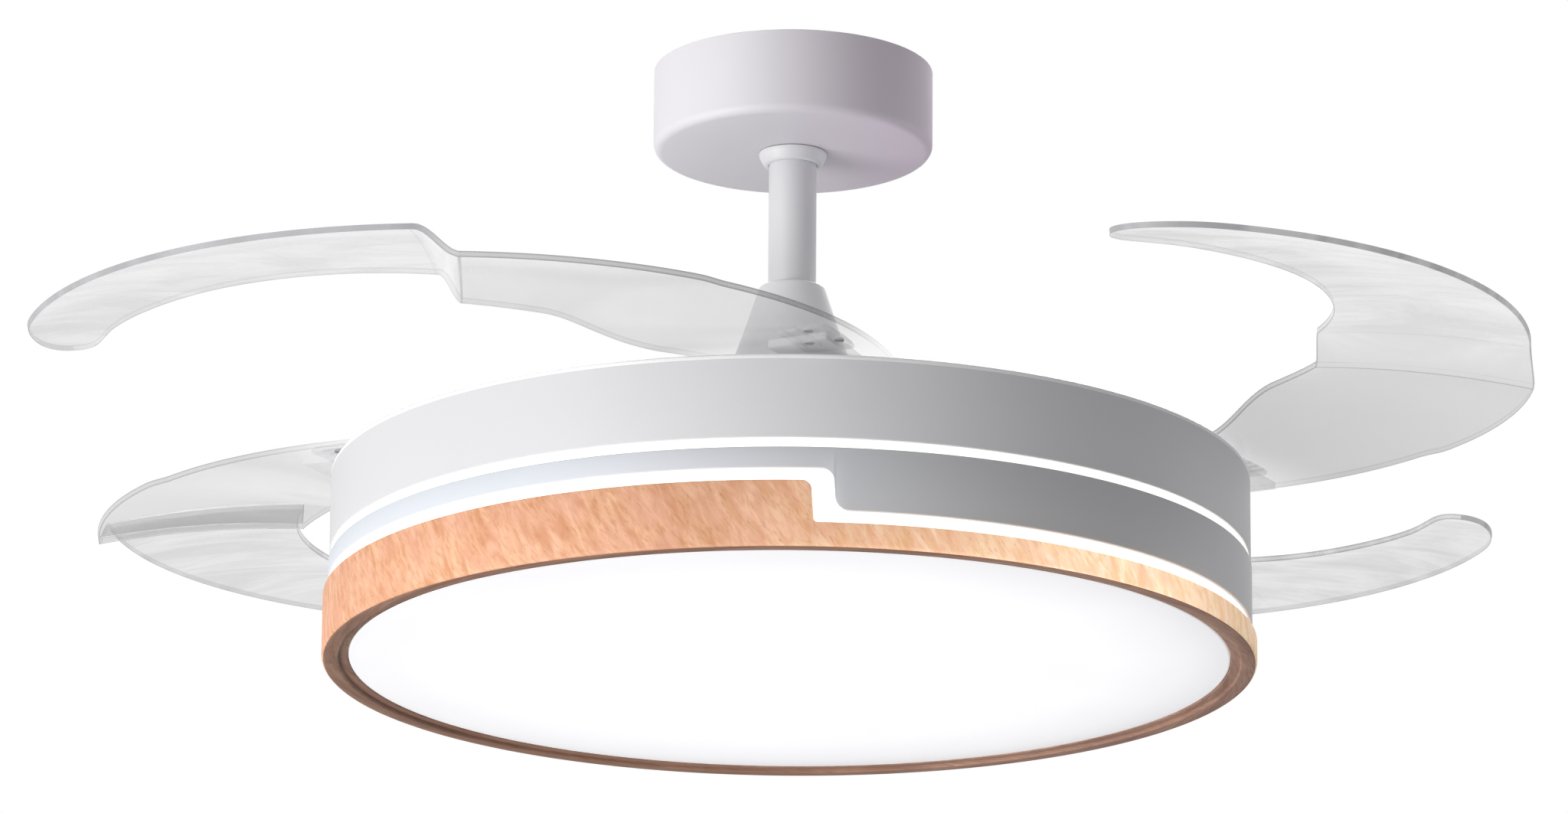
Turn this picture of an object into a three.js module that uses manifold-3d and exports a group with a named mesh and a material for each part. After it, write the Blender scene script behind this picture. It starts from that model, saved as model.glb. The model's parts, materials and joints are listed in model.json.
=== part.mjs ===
// Retractable blade ceiling fan with a round lamp below it.
// Millimetres, +Z up. The origin is on the fan's axis, in the plane of the ceiling.
import * as THREE from "three";
import { mergeVertices } from "three/addons/utils/BufferGeometryUtils.js";
import Module from "manifold-3d";

const wasm = await Module();
wasm.setup();

// ---- driving dimensions ----
const seatGap = 0.3; // between pieces that rest on each other
const runGap = 0.4; // between pieces that turn past each other

const totalDrop = 335; // ceiling to the lamp's lower lip
const lampHeight = 102.5; // drum's rim to the lamp's lower lip
const drumHeight = 44.5; // painted drum above the light slot
const slotHeight = 4.5; // upper light slot
const stepGapHeight = 7; // lower, stepped light gap
const woodTall = 35; // wooden ring on the left half
const woodLow = 13; // wooden ring on the right half
const stepAngle = 4; // front and back steps, turned from the Y axis, degrees
const woodRampLength = 6; // length of the wooden step along the ring
const bandRampLength = 15; // length of the painted band's S-shaped step
const stepShift = 14; // from the wooden step to the band's step along the ring

const woodRadius = 250;
const woodWall = 3.8;
const lipReach = 14; // wooden lip, from the ring's outer face to its inner edge
const lipStepWidth = 5;
const lipStepHeight = 2;
const lipThickness = 8;
const lipRound = 2;
const bandInset = 2.5; // painted band's face, set in from the wooden ring's
const drumInset = 3;
const drumWall = 1.5;
const drumFlangeWidth = 9;
const lightRingWall = 2.9;
const lightRingSet = 3; // light ring's body, set in from the wooden ring's inner face
const ribInset = 4; // light ribs' faces, set in from the wooden ring's outer face
const panelThickness = 3;
const panelDome = 1.5;

const canopyRadius = 76;
const canopyHeight = 46;
const canopyWall = 1.5;
const canopyRound = 5;
const ceilingGap = 0.5;
const collarRadius = 18.5;
const collarHeight = 7;

const bracketLength = 124;
const bracketWidth = 40;
const bracketSheet = 3;
const slotEndMargin = 5; // screw slots, in from the bracket's ends
const slotLength = 18;
const slotWidth = 5.5;
const saddleDrop = 30;
const saddleHalf = 27;
const saddleHoleRadius = 14.6;
const ballRadius = 17;
const ballTopCut = 8;

const rodRadius = 13;
const rodWall = 2;
const rodTopRise = 2.5; // rod's top above the ball's cut
const crossPinRadius = 3;

const bellToMotor = 2.7; // from the bell's rim to the motor
const bellHeight = 72;
const bellWaistHeight = 45; // above the bell's rim
const bellTopRadius = 17.7;
const bellWaistRadius = 26.5;
const bellBottomRadius = 48;
const bellWall = 1.6;

const couplingHeight = 36;
const couplingSocket = 22; // how deep the rod sits in the coupling
const couplingPinRise = 10; // pin above the rod's lower end
const shaftRadius = 8.5;
const shaftBore = 5.5;
const shaftFlangeRadius = 13;
const shaftFlangeHeight = 2;
const shaftThreadEnd = 5; // shaft's end below the nut

const motorHeight = 40;
const motorPlate = 3;
const motorWall = 6;
const bearingRadius = 14;
const bearingHeight = 7;
const bearingSeatWall = 4;
const statorRadius = 44;
const statorHeight = 14;
const statorYoke = 24;
const statorTeeth = 9;
const toothPole = 15; // half angle of a pole shoe, degrees
const toothNeck = 7;
const poleDepth = 3;
const windingHeight = 2.5;
const magnetThickness = 4;
const magnetAirGap = 1.5;

const pivotInset = 50; // blade pivots, set in from the wooden ring's outer face
const bladeCount = 4;
const rotorTurn = 7; // first blade's pivot, turned from the X axis, degrees
const openAngle = 70; // blade's swing from folded to open, degrees
const traySheet = 3;
const keeperHalf = 8; // keeper's reach to each side of the guide
const keeperSheet = 1.2;
const trayInset = 15; // tray's edge, set in from the drum's outer face
const trayRimHeight = 4;
const trayBelowRim = 5.5; // tray's upper face below the drum's rim
const trayHubHole = 20;
const windowMargin = 12; // tray's windows, from the motor
const windowRim = 30; // tray's windows, from the synchronising ring
const hubHeight = 12.3; // gear layer and arm of a blade's hub
const toothModule = 2.5;
const hubTeeth = 16;
const ringWidth = 18;
const ringPlay = 1.2; // between the synchronising ring and its guide
const gearThickness = 4;
const addendum = 2.2;
const dedendum = 3.1;
const backlash = 0.5;
const pinRadius = 5;
const pinHeadRadius = 12.5;
const pinHeadHeight = 2.5;
const pinHoleGap = 0.8; // between the pin's head and the blade's hole
const pinFlangeHeight = 2;
const trayClearance = 4.5; // pivot pins' lower ends to the lamp's chassis
const hubRadius = 23;
const springWire = 1.6;
const springTurns = 2.5;
const counterboreRadius = 10;
const padHalfWidth = 17;
const padThickness = 4;
const padEnd = 17; // far end of the pad along the blade, degrees
const clampStart = 4.8;

const bladeInsetFolded = 18; // outer edge of a folded blade, in from the wooden ring's outer face
const bladeSweep = 166; // angle that a folded blade wraps, degrees
const bladeBreadth = 123; // at the widest part of the crescent
const bladeNose = 26; // how far the tip's outer edge curves in
const bladeHeel = 14; // how far the root's outer edge curves in
const bladeThickness = 3;
const bladeLift = 15; // step up from the inner half to the tip half
const seamShare = 0.455; // where the step lies along the blade
const seamLength = 0.035;
const bladeTilt = 0.09; // rise of the blade from its outer to its inner edge
const bladeCamber = 3;
const edgeNotch = 3;
const armShare = 0.27; // end of the blade's narrow arm
const clampThickness = 2.2;

const chassisSheet = 1.5;
const trayHeight = 41; // space between the chassis and the light tray
const trayToBoard = 0.3;
const boardMargin = 35; // board's edge to the light tray's
const boardThickness = 1.6;
const ledCount = 6;
const ledSize = 8;
const driverSize = [120, 46, 24];
const receiverSize = [90, 40, 20];
const boxPlace = 90; // boxes' middles from the axis
const footReach = 8;
const standoffRadius = 6;
const standoffInset = 90; // standoffs, in from the light tray's edge
const nutAcross = 26;
const nutHeight = 8;

const bigSteps = 36; // facets round a large ring
const midSteps = 28;
const stepSamples = 6; // extra facets along each step of the rings
const motorSteps = 20;
const smallSteps = 16;

// ---- levels, from the sizes above ----
const zLip = -totalDrop;
const zRim = zLip + lampHeight;
const zDrumBottom = zRim - drumHeight;
const zSlotBottom = zDrumBottom - slotHeight;
const zLedge = zLip + lipThickness;
const zTrayTop = zRim - trayBelowRim;
const zTrayBottom = zTrayTop - traySheet;
const zHubBottom = zTrayTop + runGap;
const zGearTop = zHubBottom + gearThickness;
const zHubTop = zHubBottom + hubHeight;
const zBlade = zHubTop + seatGap;
const zMotorBottom = zTrayTop + seatGap;
const zMotorTop = zMotorBottom + motorHeight;
const zChassisTop = zTrayBottom - seatGap - pinFlangeHeight - trayClearance;
const zChassisBottom = zChassisTop - chassisSheet;
const zLightTrayTop = zChassisBottom - trayHeight;
const zPanelBottom = zLip + lipStepHeight + seatGap;
const bellBottomDrop = -zMotorTop - bellToMotor;
const bellTopDrop = bellBottomDrop - bellHeight;
const bellWaistDrop = bellBottomDrop - bellWaistHeight;
const rodBottomDrop = bellWaistDrop + couplingSocket;
const couplingPinDrop = rodBottomDrop - couplingPinRise;
const degree = Math.PI / 180;

// ---- radii, from the sizes above ----
const lipRadius = woodRadius - lipReach;
const lipStepRadius = lipRadius + lipStepWidth;
const bandRadius = woodRadius - bandInset;
const drumRadius = woodRadius - drumInset;
const drumFlangeRadius = drumRadius - drumFlangeWidth;
const lightRingOuter = woodRadius - woodWall - lightRingSet;
const lightRingInner = lightRingOuter - lightRingWall;
const ribRadius = woodRadius - ribInset;
const pivotCircle = woodRadius - pivotInset;
const trayRadius = drumRadius - trayInset;
const bladeRadius = woodRadius - bladeInsetFolded;
const boardRadius = lightRingInner - boardMargin;
const standoffCircle = lightRingInner - standoffInset;

// ---- materials ----
function finish(color, roughness, metalness, extra = {}) {
  return new THREE.MeshStandardMaterial({ color, roughness, metalness, ...extra });
}
const whitePaint = finish(0xe4e2e8, 0.45, 0.0);
const bandPaint = finish(0xc9ccd6, 0.45, 0.0);
const steel = finish(0xa8abb0, 0.35, 0.9);
const aluminium = finish(0xc4c7cb, 0.4, 0.8);
const darkIron = finish(0x4a4c52, 0.5, 0.7);
const clearPlastic = finish(0xdcdce2, 0.08, 0.0, { transparent: true, opacity: 0.35 });
const greyPlastic = finish(0xb9bbc0, 0.5, 0.0);
const opalPlastic = finish(0xfbfbff, 0.4, 0.0, { emissive: 0xffffff, emissiveIntensity: 0.6 });
const woodFinish = finish(0xe0a67c, 0.6, 0.0);
const boardFinish = finish(0xf2f2ee, 0.5, 0.0);

// ---- mesh helpers ----
function isFlat(a, b, c) {
  return a === b || b === c || c === a;
}

function cleaned(geometry) {
  const bare = geometry.clone();
  bare.deleteAttribute("normal");
  bare.deleteAttribute("uv");
  const merged = mergeVertices(bare, 1e-4);
  const source = merged.index.array;
  const kept = [];
  for (let i = 0; i < source.length; i += 3) {
    const [a, b, c] = [source[i], source[i + 1], source[i + 2]];
    if (!isFlat(a, b, c)) kept.push(a, b, c);
  }
  merged.setIndex(kept);
  return merged;
}

function signedVolume(geometry) {
  const p = geometry.attributes.position;
  const index = geometry.index.array;
  const corner = [new THREE.Vector3(), new THREE.Vector3(), new THREE.Vector3()];
  let sum = 0;
  for (let i = 0; i < index.length; i += 3) {
    corner.forEach((v, k) => v.fromBufferAttribute(p, index[i + k]));
    sum += corner[0].dot(corner[1].clone().cross(corner[2]));
  }
  return sum / 6;
}

function outward(geometry) {
  const result = cleaned(geometry);
  if (signedVolume(result) < 0) {
    const index = result.index.array;
    for (let i = 0; i < index.length; i += 3) {
      [index[i], index[i + 1]] = [index[i + 1], index[i]];
    }
  }
  return result;
}

function solid(geometry) {
  const g = outward(geometry);
  return new wasm.Manifold(new wasm.Mesh({
    numProp: 3,
    vertProperties: new Float32Array(g.attributes.position.array),
    triVerts: new Uint32Array(g.index.array),
  }));
}

function shape(manifold) {
  const mesh = manifold.getMesh();
  const geometry = new THREE.BufferGeometry();
  geometry.setAttribute("position", new THREE.BufferAttribute(mesh.vertProperties, 3));
  geometry.setIndex(new THREE.BufferAttribute(mesh.triVerts, 1));
  return geometry;
}

function join(first, ...others) {
  return shape(others.reduce((sum, g) => sum.add(solid(g)), solid(first)));
}

function cut(body, ...tools) {
  return shape(tools.reduce((rest, g) => rest.subtract(solid(g)), solid(body)));
}

// a profile of [radius, z] points turned round the Z axis
function turned(profile, steps = smallSteps) {
  const points = profile.map(([r, z]) => new THREE.Vector2(r, z));
  const onAxis = profile[0][0] === 0 && profile[profile.length - 1][0] === 0;
  if (!onAxis) points.push(points[0].clone());
  return outward(new THREE.LatheGeometry(points, steps).rotateX(Math.PI / 2));
}

function ring(inner, outer, bottom, top, steps = smallSteps) {
  return turned([[inner, bottom], [outer, bottom], [outer, top], [inner, top]], steps);
}

function disc(radius, bottom, top, steps = smallSteps) {
  return turned([[0, bottom], [radius, bottom], [radius, top], [0, top]], steps);
}

function block(sizeX, sizeY, bottom, top, x = 0, y = 0) {
  const height = top - bottom;
  return new THREE.BoxGeometry(sizeX, sizeY, height).translate(x, y, bottom + height / 2);
}

function bar(radius, length, x, y, z, alongY = false, steps = 12) {
  const g = new THREE.CylinderGeometry(radius, radius, length, steps);
  if (!alongY) g.rotateZ(Math.PI / 2);
  return g.translate(x, y, z);
}

function plate(outline, bottom, top) {
  const settings = { depth: top - bottom, bevelEnabled: false };
  return outward(new THREE.ExtrudeGeometry(outline, settings).translate(0, 0, bottom));
}

function arcPoints(radius, from, to, steps) {
  const points = [];
  for (let i = 0; i <= steps; i += 1) {
    const a = from + ((to - from) * i) / steps;
    points.push([radius * Math.cos(a), radius * Math.sin(a)]);
  }
  return points;
}

function vectors(points) {
  return points.map(([x, y]) => new THREE.Vector2(x, y));
}

function circlePath(radius, steps, x = 0, y = 0) {
  const points = arcPoints(radius, 0, 2 * Math.PI, steps).slice(1);
  return new THREE.Path(vectors(points).map((v) => v.add(new THREE.Vector2(x, y))));
}

function outlineOf(points) {
  return new THREE.Shape(vectors(points));
}

// closed rings of points, joined one to the next; caps close an open row
function loft(sections, closed) {
  const count = sections[0].length;
  const positions = sections.flat(2);
  const index = [];
  const last = closed ? sections.length : sections.length - 1;
  for (let i = 0; i < last; i += 1) {
    const here = i * count;
    const next = ((i + 1) % sections.length) * count;
    for (let j = 0; j < count; j += 1) {
      const k = (j + 1) % count;
      index.push(here + j, next + j, next + k, here + j, next + k, here + k);
    }
  }
  if (!closed) {
    for (const [start, flip] of [[0, false], [(sections.length - 1) * count, true]]) {
      for (let j = 0; j < count / 2 - 1; j += 1) {
        const quad = [start + j, start + j + 1, start + count - 2 - j, start + count - 1 - j];
        const faces = [quad[0], quad[1], quad[2], quad[0], quad[2], quad[3]];
        index.push(...(flip ? faces.reverse() : faces));
      }
    }
  }
  const geometry = new THREE.BufferGeometry();
  geometry.setAttribute("position", new THREE.Float32BufferAttribute(positions, 3));
  geometry.setIndex(index);
  return outward(geometry);
}

function node(parent, name, geometry, material) {
  const mesh = new THREE.Mesh(geometry, material);
  mesh.name = name;
  parent.add(mesh);
}

function smooth(x, start, length) {
  return THREE.MathUtils.smoothstep(x, start, start + length);
}

// ---- ceiling side ----
function makeBracket() {
  const leg = (x) => block(bracketSheet, bracketWidth, -saddleDrop - bracketSheet, -1, x);
  const saddle = block(2 * saddleHalf, bracketWidth, -saddleDrop - bracketSheet, -saddleDrop);
  const top = block(bracketLength, bracketWidth, -bracketSheet, 0);
  const body = join(top, leg(saddleHalf - bracketSheet / 2), leg(bracketSheet / 2 - saddleHalf), saddle);
  const deep = -saddleDrop - bracketSheet - 1;
  const hole = disc(saddleHoleRadius, deep, -saddleDrop + 1);
  const throat = block(2 * (rodRadius + 1), bracketWidth, deep, -saddleDrop + 1, 0, bracketWidth / 2);
  const slot = (x) => block(slotLength, slotWidth, -bracketSheet - 1, 1, x);
  const place = (bracketLength - slotLength) / 2 - slotEndMargin;
  return cut(body, hole, throat, slot(place), slot(-place));
}

function ballCentre() {
  const rise = Math.sqrt(ballRadius ** 2 - saddleHoleRadius ** 2);
  return -saddleDrop + rise + seatGap;
}

function makeBall() {
  const bore = rodRadius + seatGap;
  const start = -Math.acos(bore / ballRadius);
  const end = Math.asin(ballTopCut / ballRadius);
  const profile = [];
  for (let i = 0; i <= 4; i += 1) {
    const a = start + (end - start) * (i / 4);
    profile.push([ballRadius * Math.cos(a), ballCentre() + ballRadius * Math.sin(a)]);
  }
  profile.push([bore, ballCentre() + ballTopCut]);
  const body = turned(profile, smallSteps);
  return cut(body, bar(crossPinRadius + seatGap, 3 * ballRadius, 0, 0, crossPinHeight()));
}

function crossPinHeight() {
  return ballCentre() + ballTopCut / 2;
}

function makeCrossPin(half, z) {
  return outward(bar(crossPinRadius, 2 * half, 0, 0, z));
}

function makeRod() {
  const rodTop = ballCentre() + ballTopCut + rodTopRise;
  const tube = ring(rodRadius - rodWall, rodRadius, -rodBottomDrop, rodTop);
  const hole = (z) => bar(crossPinRadius + seatGap, 3 * rodRadius, 0, 0, z);
  return cut(tube, hole(crossPinHeight()), hole(-couplingPinDrop));
}

function makeCanopy() {
  const bottom = -canopyHeight - ceilingGap;
  const top = -ceilingGap;
  const outer = [[rodRadius + 1, bottom]];
  const inner = [[canopyRadius - canopyWall, top]];
  for (let i = 0; i <= 2; i += 1) {
    const a = (i / 2) * 90 * degree;
    const r = canopyRadius - canopyRound;
    const z = bottom + canopyRound;
    outer.push([r + canopyRound * Math.sin(a), z - canopyRound * Math.cos(a)]);
    const b = Math.PI / 2 - a;
    const round = canopyRound - canopyWall;
    inner.push([r + round * Math.sin(b), z - round * Math.cos(b)]);
  }
  outer.push([canopyRadius, top]);
  inner.push([rodRadius + 1, bottom + canopyWall]);
  return turned([...outer, ...inner], midSteps);
}

function makeCollar() {
  const top = -canopyHeight - ceilingGap - seatGap;
  const bottom = top - collarHeight;
  const bore = rodRadius + seatGap;
  const body = turned([[bore, bottom], [collarRadius - 1.5, bottom], [collarRadius, bottom + 1.5],
    [collarRadius, top], [bore, top]]);
  const length = 2 * (collarRadius - bore);
  return cut(body, bar(1.8, length, 0, collarRadius, (top + bottom) / 2, true));
}

function makeCollarScrew() {
  const z = -canopyHeight - ceilingGap - seatGap - collarHeight / 2;
  const length = collarRadius - rodRadius - 2 * seatGap - 0.4;
  return outward(bar(1.5, length, 0, rodRadius + seatGap + length / 2, z, true));
}

// ---- rod cover, coupling and shaft ----
function bellRadius(drop) {
  if (drop <= bellWaistDrop) {
    const t = (drop - bellTopDrop) / (bellWaistDrop - bellTopDrop);
    return bellTopRadius + (bellWaistRadius - bellTopRadius) * t;
  }
  const t = (drop - bellWaistDrop) / (bellBottomDrop - bellWaistDrop);
  const slope = (bellWaistRadius - bellTopRadius) / (bellWaistDrop - bellTopDrop);
  const straight = bellWaistRadius + slope * (drop - bellWaistDrop);
  const end = bellWaistRadius + slope * (bellBottomDrop - bellWaistDrop);
  return straight + (bellBottomRadius - end) * t * t;
}

function makeBell() {
  const steps = 4;
  const outer = [];
  const inner = [];
  const bore = rodRadius + seatGap;
  for (let i = 0; i <= steps; i += 1) {
    const drop = bellBottomDrop + (bellTopDrop + 2 - bellBottomDrop) * (i / steps);
    outer.push([bellRadius(drop), -drop]);
    inner.unshift([Math.max(bellRadius(drop) - bellWall, bore), -drop]);
  }
  outer.push([bellTopRadius - 0.4, -bellTopDrop - 0.5], [bellTopRadius - 1.5, -bellTopDrop]);
  outer.push([bore, -bellTopDrop], [bore, -bellTopDrop - 2]);
  return turned([...outer, ...inner], motorSteps);
}

function couplingRadius() {
  return bellRadius(bellWaistDrop) - bellWall - 2 * seatGap;
}

function makeCoupling() {
  const top = -bellWaistDrop;
  const bottom = top - couplingHeight;
  const joint = -rodBottomDrop - seatGap;
  const radius = couplingRadius();
  const body = turned([[shaftRadius + seatGap, bottom], [radius, bottom], [radius, top],
    [rodRadius + seatGap, top], [rodRadius + seatGap, joint], [shaftRadius + seatGap, joint]]);
  return cut(body, bar(crossPinRadius + seatGap, 3 * radius, 0, 0, -couplingPinDrop));
}

function shaftTop() {
  return -rodBottomDrop - 2;
}

function makeShaft() {
  const bottom = zChassisBottom - nutHeight - shaftThreadEnd;
  const flange = zChassisTop + seatGap;
  return turned([[shaftBore, bottom], [shaftRadius, bottom], [shaftRadius, flange],
    [shaftFlangeRadius, flange], [shaftFlangeRadius, flange + shaftFlangeHeight],
    [shaftRadius, flange + shaftFlangeHeight], [shaftRadius, shaftTop()], [shaftBore, shaftTop()]]);
}

function makeNut() {
  const top = zChassisBottom - 2 * seatGap - chassisSheet;
  const across = nutAcross / Math.sqrt(3);
  const hex = new THREE.CylinderGeometry(across, across, nutHeight, 6).rotateX(Math.PI / 2);
  hex.translate(0, 0, top - nutHeight / 2);
  return cut(hex, disc(shaftRadius + seatGap, top - nutHeight - 1, top + 1));
}

function makeWasher() {
  const top = zChassisBottom - seatGap;
  return ring(shaftRadius + seatGap, nutAcross / 2 + 3, top - chassisSheet, top);
}

// ---- motor ----
function zBearing(upper) {
  return upper ? zMotorTop - motorPlate - bearingHeight : zMotorBottom - bearingSeatWall;
}

function makeBearing(upper) {
  const bottom = zBearing(upper);
  return ring(shaftRadius + seatGap, bearingRadius, bottom, bottom + bearingHeight);
}

function statorMiddle() {
  return (zMotorBottom + zMotorTop) / 2;
}

function makeStator() {
  const bottom = statorMiddle() - statorHeight / 2;
  const top = bottom + statorHeight;
  const pitch = 360 / statorTeeth;
  const shoe = statorRadius - poleDepth;
  const tooth = [[statorYoke, -toothNeck], [shoe, -toothNeck], [shoe, -toothPole],
    [statorRadius, -toothPole], [statorRadius, toothPole], [shoe, toothPole],
    [shoe, toothNeck], [statorYoke, toothNeck]];
  const points = [];
  for (let i = 0; i < statorTeeth; i += 1) {
    for (const [radius, turn] of tooth) {
      const a = (i * pitch + turn) * degree;
      points.push([radius * Math.cos(a), radius * Math.sin(a)]);
    }
  }
  const outline = outlineOf(points);
  outline.holes.push(circlePath(shaftRadius + seatGap, smallSteps));
  const winding = (low, high) => ring(statorYoke - 3, shoe - 2, low, high, 12);
  return join(plate(outline, bottom, top), winding(bottom - windingHeight, bottom + 0.5),
    winding(top - 0.5, top + windingHeight));
}

function magnetOuter() {
  return statorRadius + magnetAirGap + magnetThickness;
}

function motorRadius() {
  return magnetOuter() + seatGap + motorWall;
}

function makeMagnets() {
  const half = statorHeight / 2 + 2;
  const inner = statorRadius + magnetAirGap;
  return ring(inner, magnetOuter(), statorMiddle() - half, statorMiddle() + half, motorSteps);
}

function makeLowerShell() {
  const seat = bearingRadius + seatGap;
  const zSeat = zBearing(false);
  const lip = 1.5;
  return turned([[seat - 3, zSeat - seatGap - lip], [seat + bearingSeatWall, zSeat - seatGap - lip],
    [seat + bearingSeatWall, zMotorBottom], [motorRadius(), zMotorBottom],
    [motorRadius(), zMotorBottom + motorPlate], [seat, zMotorBottom + motorPlate],
    [seat, zSeat - seatGap], [seat - 3, zSeat - seatGap]], motorSteps);
}

function makeUpperShell() {
  const seat = bearingRadius + seatGap;
  const zSeat = zBearing(true);
  const wallInner = magnetOuter() + seatGap;
  const wallOuter = motorRadius();
  const bottom = zMotorBottom + motorPlate + seatGap;
  const plateBottom = zMotorTop - motorPlate;
  return turned([[wallInner, bottom], [wallOuter, bottom], [wallOuter, zMotorTop - 2],
    [wallOuter - 2, zMotorTop], [shaftRadius + 1.5, zMotorTop], [shaftRadius + 1.5, plateBottom + seatGap],
    [seat, plateBottom + seatGap], [seat, zSeat], [seat + bearingSeatWall, zSeat],
    [seat + bearingSeatWall, plateBottom], [wallInner, plateBottom]], motorSteps);
}

// ---- gears ----
function toothedPoints(pitchRadius, direction, from, count, pitchAngle) {
  const points = [];
  const halfPitch = (Math.PI * toothModule) / 4 - backlash / 2;
  const slope = Math.tan(20 * degree);
  const halfTip = halfPitch - addendum * slope;
  const halfRoot = halfPitch + dedendum * slope;
  const add = (radius, angle) => points.push([radius * Math.cos(angle), radius * Math.sin(angle)]);
  for (let i = 0; i < count; i += 1) {
    const a = from + direction * i * pitchAngle;
    const rootTurn = direction * (halfRoot / pitchRadius);
    const tipTurn = direction * (halfTip / pitchRadius);
    add(pitchRadius - dedendum, a - rootTurn);
    add(pitchRadius + addendum, a - tipTurn);
    add(pitchRadius + addendum, a + tipTurn);
    add(pitchRadius - dedendum, a + rootTurn);
  }
  return points;
}

function hubPitchRadius() {
  return (toothModule * hubTeeth) / 2;
}

function ringPitchRadius() {
  return pivotCircle - hubPitchRadius();
}

// the ring that makes the blades fold together: one toothed sector for each blade
function makeSyncRing() {
  const radius = ringPitchRadius();
  const ringTeeth = (2 * radius) / toothModule;
  const pitch = (2 * Math.PI) / ringTeeth;
  const perBlade = ringTeeth / bladeCount;
  const before = 5;
  const after = 2;
  const points = [];
  for (let k = 0; k < bladeCount; k += 1) {
    const first = k * perBlade * pitch + (0.5 - before) * pitch;
    const count = before + after;
    points.push(...toothedPoints(radius, 1, first, count, pitch));
    const from = first + (count - 0.5) * pitch;
    const to = first + (perBlade - 0.5) * pitch;
    points.push(...arcPoints(radius - dedendum, from, to, 7));
  }
  const outline = outlineOf(points);
  outline.holes.push(circlePath(radius - ringWidth, bigSteps));
  return plate(outline, zHubBottom, zGearTop);
}

// ---- blade carrier ----
function makeTray() {
  const outline = new THREE.Shape(circlePath(trayRadius, bigSteps).getPoints());
  outline.holes.push(circlePath(trayHubHole, midSteps / 2));
  const inner = motorRadius() + windowMargin;
  const outer = ringPitchRadius() - ringWidth - windowRim;
  for (let k = 0; k < bladeCount; k += 1) {
    const a = (k * 2 * Math.PI) / bladeCount;
    const [x, y] = [pivotCircle * Math.cos(a), pivotCircle * Math.sin(a)];
    outline.holes.push(circlePath(pinRadius + seatGap, 10, x, y));
    for (const side of [-1, 1]) {
      const middle = a + (side * Math.PI) / (2 * bladeCount);
      const half = (0.33 * Math.PI) / bladeCount;
      const window = [...arcPoints(inner, middle - half, middle + half, 3),
        ...arcPoints(outer, middle + half, middle - half, 3)];
      outline.holes.push(new THREE.Path(vectors(window)));
    }
  }
  const sheet = plate(outline, zTrayBottom, zTrayTop);
  const guideOuter = ringPitchRadius() - ringWidth - ringPlay;
  const guide = ring(guideOuter - 3, guideOuter, zTrayTop - 1, zGearTop + runGap, bigSteps);
  const rim = ring(trayRadius - 2, trayRadius, zTrayTop - 1, zTrayTop + trayRimHeight, bigSteps);
  return join(sheet, guide, rim);
}

function makeKeeper() {
  const guideOuter = ringPitchRadius() - ringWidth - ringPlay;
  const bottom = zGearTop + runGap + seatGap;
  return ring(guideOuter - keeperHalf, guideOuter + keeperHalf, bottom, bottom + keeperSheet, midSteps);
}

function makePin() {
  const flange = pinRadius + 3;
  const bottom = zTrayBottom - seatGap;
  const head = zBlade + 0.8;
  return turned([[0, bottom - pinFlangeHeight], [flange, bottom - pinFlangeHeight], [flange, bottom],
    [pinRadius, bottom], [pinRadius, head], [pinHeadRadius, head],
    [pinHeadRadius, head + pinHeadHeight - 0.8], [pinHeadRadius - 1.2, head + pinHeadHeight],
    [0, head + pinHeadHeight]], 10);
}

// torsion spring round the pin: one unbroken wire
function makeSpring() {
  const wire = springWire / 2;
  const radius = (pinRadius + counterboreRadius) / 2;
  const bottom = zGearTop + wire + seatGap;
  const top = zBlade + 0.8 - wire - seatGap;
  const steps = Math.round(springTurns * 7);
  const sections = [];
  for (let i = 0; i <= steps; i += 1) {
    const a = (i / steps) * springTurns * 2 * Math.PI;
    const z = bottom + (top - bottom) * (i / steps);
    const section = [];
    for (let j = 0; j < 4; j += 1) {
      const b = (j / 4) * 2 * Math.PI;
      const r = radius + wire * Math.cos(b);
      section.push([r * Math.cos(a), r * Math.sin(a), z + wire * Math.sin(b)]);
    }
    sections.push(section);
  }
  return loft(sections, false);
}

// ---- blades ----
// Widths of the crescent from root to tip: share of the sweep, share of the blade's breadth.
const bladeWidths = [[-0.045, 0.23], [-0.03, 0.39], [0, 0.57], [0.1, 0.83], [0.22, 0.99],
  [0.34, 1], [0.48, 0.9], [0.62, 0.74], [0.76, 0.57], [0.88, 0.43], [0.95, 0.325],
  [0.985, 0.19], [1, 0.06]];

function bladeWidth(t) {
  const next = bladeWidths.findIndex(([share]) => share >= t);
  const [b, wide] = bladeWidths[Math.max(next, 1)];
  const [a, narrow] = bladeWidths[Math.max(next, 1) - 1];
  return bladeBreadth * (narrow + (wide - narrow) * ((t - a) / (b - a)));
}

// how far the outer edge is set in from the blade's full radius
function bladeInset(t) {
  const arm = edgeNotch * (1 - smooth(t, armShare - 0.02, 0.02));
  const tip = edgeNotch * smooth(t, seamShare, seamLength);
  const nose = bladeNose * Math.max(0, (t - 0.9) / 0.1) ** 3;
  const heel = bladeHeel * Math.max(0, -t / 0.045) ** 2;
  return arm + tip + nose + heel;
}

function bladeHeight(t, radius, across) {
  const sprung = smooth(t, 0.12, 0.2);
  const rise = bladeTilt * (bladeRadius - radius) * sprung;
  const bow = 4 * bladeCamber * across * (1 - across) * sprung;
  return zBlade + rise + bow + bladeLift * smooth(t, seamShare, seamLength);
}

function bladeStations() {
  const stations = bladeWidths.map(([share]) => share);
  for (const at of [armShare, seamShare, seamShare + seamLength]) stations.push(at);
  for (const at of [0.05, 0.16, 0.41, 0.69, 0.82]) stations.push(at);
  stations.push(seamShare + seamLength / 2);
  return [...new Set(stations)].sort((a, b) => a - b);
}

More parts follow.
